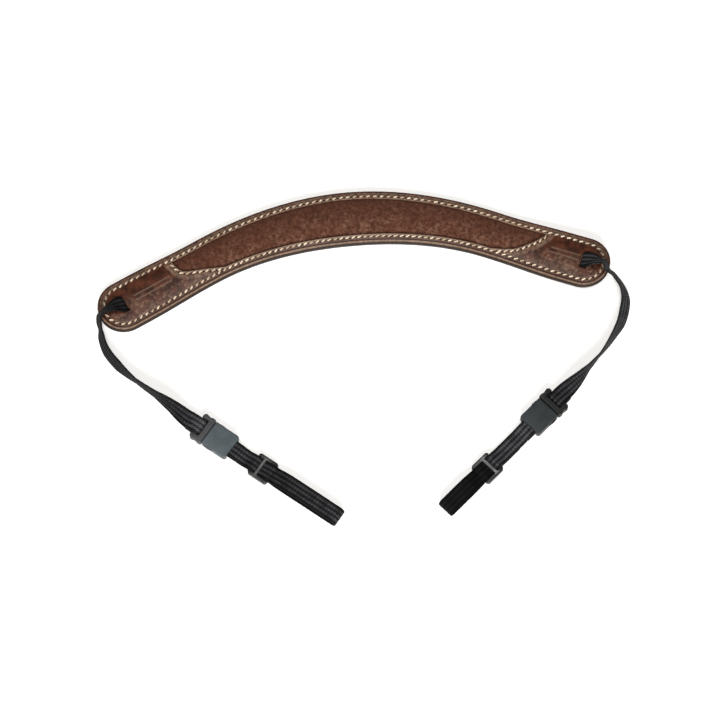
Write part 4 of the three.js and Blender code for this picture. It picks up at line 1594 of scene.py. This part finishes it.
# ------------------------------------------------------------------ operators
class STRAP_OT_stage(bpy.types.Operator):
    """Lay the floor, set the lights and place the camera"""

    bl_idname = "strap.stage"
    bl_label = "Stage"

    def execute(self, context):
        settings = context.scene.strap_stage
        scene = context.scene
        lines, half, low = 13, 3000.0, -0.02
        edge = np.linspace(-half, half, lines)
        x, y = np.meshgrid(edge, edge, indexing="ij")
        points = np.stack([x, y, np.full_like(x, low)], -1).reshape(-1, 3)
        floor = mesh_object("floor", points, [grid_faces(lines, lines)[:, ::-1]])
        floor.data.materials.append(floor_material(settings))
        world = scene.world or bpy.data.worlds.new("studio")
        scene.world = world
        world.use_nodes = True
        backdrop = world.node_tree.nodes["Background"]
        backdrop.inputs["Color"].default_value = (1.0, 1.0, 1.0, 1.0)
        backdrop.inputs["Strength"].default_value = settings.ambient
        # Name, place, width and power of each lamp, which points at the middle of the strap.
        lights = [
            ("overhead", (-0.05, -0.12, 1.7), 0.8, settings.overhead),
            ("front", (0.2, -3.0, 1.9), 1.8, settings.front),
        ]
        for name, place, width, power in lights:
            lamp = bpy.data.lights.new(name, "AREA")
            lamp.shape, lamp.size, lamp.energy = "DISK", width, power
            lamp.color = (1.0, 0.97, 0.93)
            light = bpy.data.objects.new(name, lamp)
            scene.collection.objects.link(light)
            light.location = place
            light.rotation_euler = (-Vector(place)).to_track_quat("-Z", "Y").to_euler()
        target = Vector((-LAYOUT_X * MM, -LAYOUT_Y * MM, 0.0))
        camera = bpy.data.objects.new("camera", bpy.data.cameras.new("camera"))
        scene.collection.objects.link(camera)
        rise = settings.elevation
        away = Vector((0.0, -math.cos(rise), math.sin(rise))) * settings.distance
        camera.location = target + away
        camera.rotation_euler = (-away).to_track_quat("-Z", "Y").to_euler()
        camera.data.lens = settings.lens
        camera.data.clip_end = 20.0
        scene.camera = camera
        scene.view_settings.view_transform = "Standard"
        return {"FINISHED"}


class STRAP_OT_yoke(bpy.types.Operator):
    """Make the outer leather, the padding and the leather border"""

    bl_idname = "strap.yoke"
    bl_label = "Yoke"

    def execute(self, context):
        settings, sewing = context.scene.strap_yoke, context.scene.strap_stitches
        window = border_lines(settings)[1]
        rows, pitch = stitch_rows(settings), sewing.pitch / MM
        channel_width, samples = 0.9, 500
        coarse = [resample(row, samples) for row in rows]

        def back_low(along, across):
            offset = row_terms(np.stack([along, across], -1), coarse, pitch)[0]
            return sewing.channel / MM * bell(offset, channel_width)

        shape = sheet_shape(
            back_low, level_at(BACK_TOP), inset=0.0, rounding=0.45, inner_steps=30, spacing=1.2
        )
        back = mend(mesh_object("outer_leather", *shape))
        put_attribute(back, "from_outline", from_outline(*yoke_terms(points_of(back)).T))
        place_piece(back, "yoke_back", outer_leather_material(settings))

        shape = sheet_shape(
            level_at(PAD_LOW), pad_top, inset=0.5, rounding=0.25, inner_steps=22, spacing=1.5
        )
        pad = mend(mesh_object("suede_pad", *shape))
        fill = swell
        fill(pad, window, settings.bulge / MM)
        subdivide(pad)
        plan = yoke_terms(points_of(pad))
        put_attribute(pad, "from_window", distance_to(plan, window))
        put_attribute(pad, "outer_share", outer_share(*plan.T))
        place_piece(pad, "neck_pad", suede_material(settings))

        border = mend(mesh_object("border_leather", *border_shape(settings, rows, pitch)))
        cut_away(border, leather_cutter(settings))
        border.data.set_sharp_from_angle(angle=SHARP)
        border_attributes(border, settings, rows, pitch)
        material = border_leather_material(settings, sewing)
        place_piece(border, "border_frame", material)
        return {"FINISHED"}


class STRAP_OT_stitches(bpy.types.Operator):
    """Sew the border with slanted stitches, above and below"""

    bl_idname = "strap.stitches"
    bl_label = "Stitches"

    def execute(self, context):
        yoke, settings = context.scene.strap_yoke, context.scene.strap_stitches
        material = thread_material(settings)

        def face(along, across):
            return leather_top(along, across) - yoke.groove / MM

        both = (
            ("border_stitches", face, settings.thread, False),
            ("outer_stitches", level_at(settings.channel / MM), settings.bobbin, True),
        )
        for name, level, thread, low in both:
            parts = [stitches(row, settings.pitch / MM, level, low) for row in stitch_rows(yoke)]
            place, tangent, normal = (np.vstack(part) for part in zip(*parts))
            slant = -settings.slant if low else settings.slant
            obj = stitch_mesh(name, settings, thread, place, tangent, normal, slant)
            place_piece(obj, None, material)
        return {"FINISHED"}


class STRAP_OT_webbing(bpy.types.Operator):
    """Weave the four lengths of webbing"""

    bl_idname = "strap.webbing"
    bl_label = "Webbing"

    def execute(self, context):
        settings = context.scene.strap_webbing
        material = webbing_material(settings)
        for side in SIDES:
            runs = {
                "yoke": yoke_webbing_knots(side),
                "loop": loop_webbing_knots(side, settings.thick / MM),
            }
            for part, (knots, across) in runs.items():
                obj = webbing_band(f"{part}_band_{side}", settings, knots, across)
                beyond = into_own(points_of(obj), LAID[side]["buckle"])[:, 0]
                # Share of painted sheen and wear along the webbing
                put_attribute(obj, "wear_and_sheen", np.interp(beyond, *np.transpose(SHEEN_AND_WEAR[part, side])))
                place_piece(obj, f"{part}_webbing_{side}", material)
        return {"FINISHED"}


class STRAP_OT_fittings(bpy.types.Operator):
    """Mould the buckles and the sliders"""

    bl_idname = "strap.fittings"
    bl_label = "Fittings"

    def execute(self, context):
        settings = context.scene.strap_fittings
        # Slot, colour, share of the colour kept on the right one as painted shade, roughness and ribs.
        kinds = {
            "buckle_plug": ("plug_plastic", settings.plug, settings.right_plug_shade, 0.5, PLUG_RIBS),
            "buckle_socket": ("socket_plastic", settings.socket, settings.right_socket_shade, 0.45, []),
            "slider": ("slider_plastic", settings.slider, 1.0, 0.35, SLIDER_RIBS),
        }
        # How bright the painted highlight on each slider's bar is
        bar_highlight_shares = {"left": settings.left_bar_highlight, "right": 1.0}
        for side in SIDES:
            laid = LAID[side]
            x, y, _ = laid["buckle"]
            heading = math.radians(laid["strap"])
            far = laid["slider"]
            slider = (x + far * math.cos(heading), y + far * math.sin(heading), laid["strap"])
            bar_highlight_tint = scaled(bar_highlight_shares[side], settings.bar_highlight)
            for kind, (slot, shade, right_shade, roughness, ribs) in kinds.items():
                node = f"{kind}_{side}"
                own = slider if kind == "slider" else laid["buckle"]
                tint = scaled(right_shade if side == "right" else 1.0, shade)
                obj = node_copy(node, f"moulded_{node}")
                round_edges(obj, settings.rounding / MM)
                if kind == "slider":
                    from_bar, aside, high = (into_own(points_of(obj), own) - (BAR_AT, 0.0, 0.0)).T
                    bar = (np.abs(from_bar) < BAR_HALF) & (np.abs(aside) < BAR_REACH)
                    put_attribute(obj, "bar_highlight", bar & (high > BAR_FOOT))
                if ribs:
                    add_ribs(obj, ribs, own)
                material = plastic_material(node, tint, roughness, bar_highlight_tint)
                place_piece(obj, node, material)
        return {"FINISHED"}


class STRAP_PT_panel(bpy.types.Panel):
    """Lists the strap's operators and settings"""

    bl_idname = "STRAP_PT_panel"
    bl_label = "Neck strap"
    bl_space_type = "VIEW_3D"
    bl_region_type = "UI"
    bl_category = "Strap"

    def draw(self, context):
        for operator in OPERATORS:
            self.layout.operator(operator.bl_idname)
        for name in SETTINGS:
            group = getattr(context.scene, name)
            box = self.layout.box()
            for key in group.bl_rna.properties.keys():
                if key not in ("rna_type", "name"):
                    box.prop(group, key)


OPERATORS = (
    STRAP_OT_stage,
    STRAP_OT_yoke,
    STRAP_OT_stitches,
    STRAP_OT_webbing,
    STRAP_OT_fittings,
)
CLASSES = (*SETTINGS.values(), *OPERATORS, STRAP_PT_panel)


def register():
    for cls in CLASSES:
        bpy.utils.register_class(cls)
    for name, group in SETTINGS.items():
        setattr(bpy.types.Scene, name, bpy.props.PointerProperty(type=group))


def unregister():
    for name in SETTINGS:
        delattr(bpy.types.Scene, name)
    for cls in reversed(CLASSES):
        bpy.utils.unregister_class(cls)


def main():
    """Makes every piece."""
    register()
    for operator in OPERATORS:
        group, name = operator.bl_idname.split(".")
        getattr(getattr(bpy.ops, group), name)()


if __name__ == "__main__":
    main()
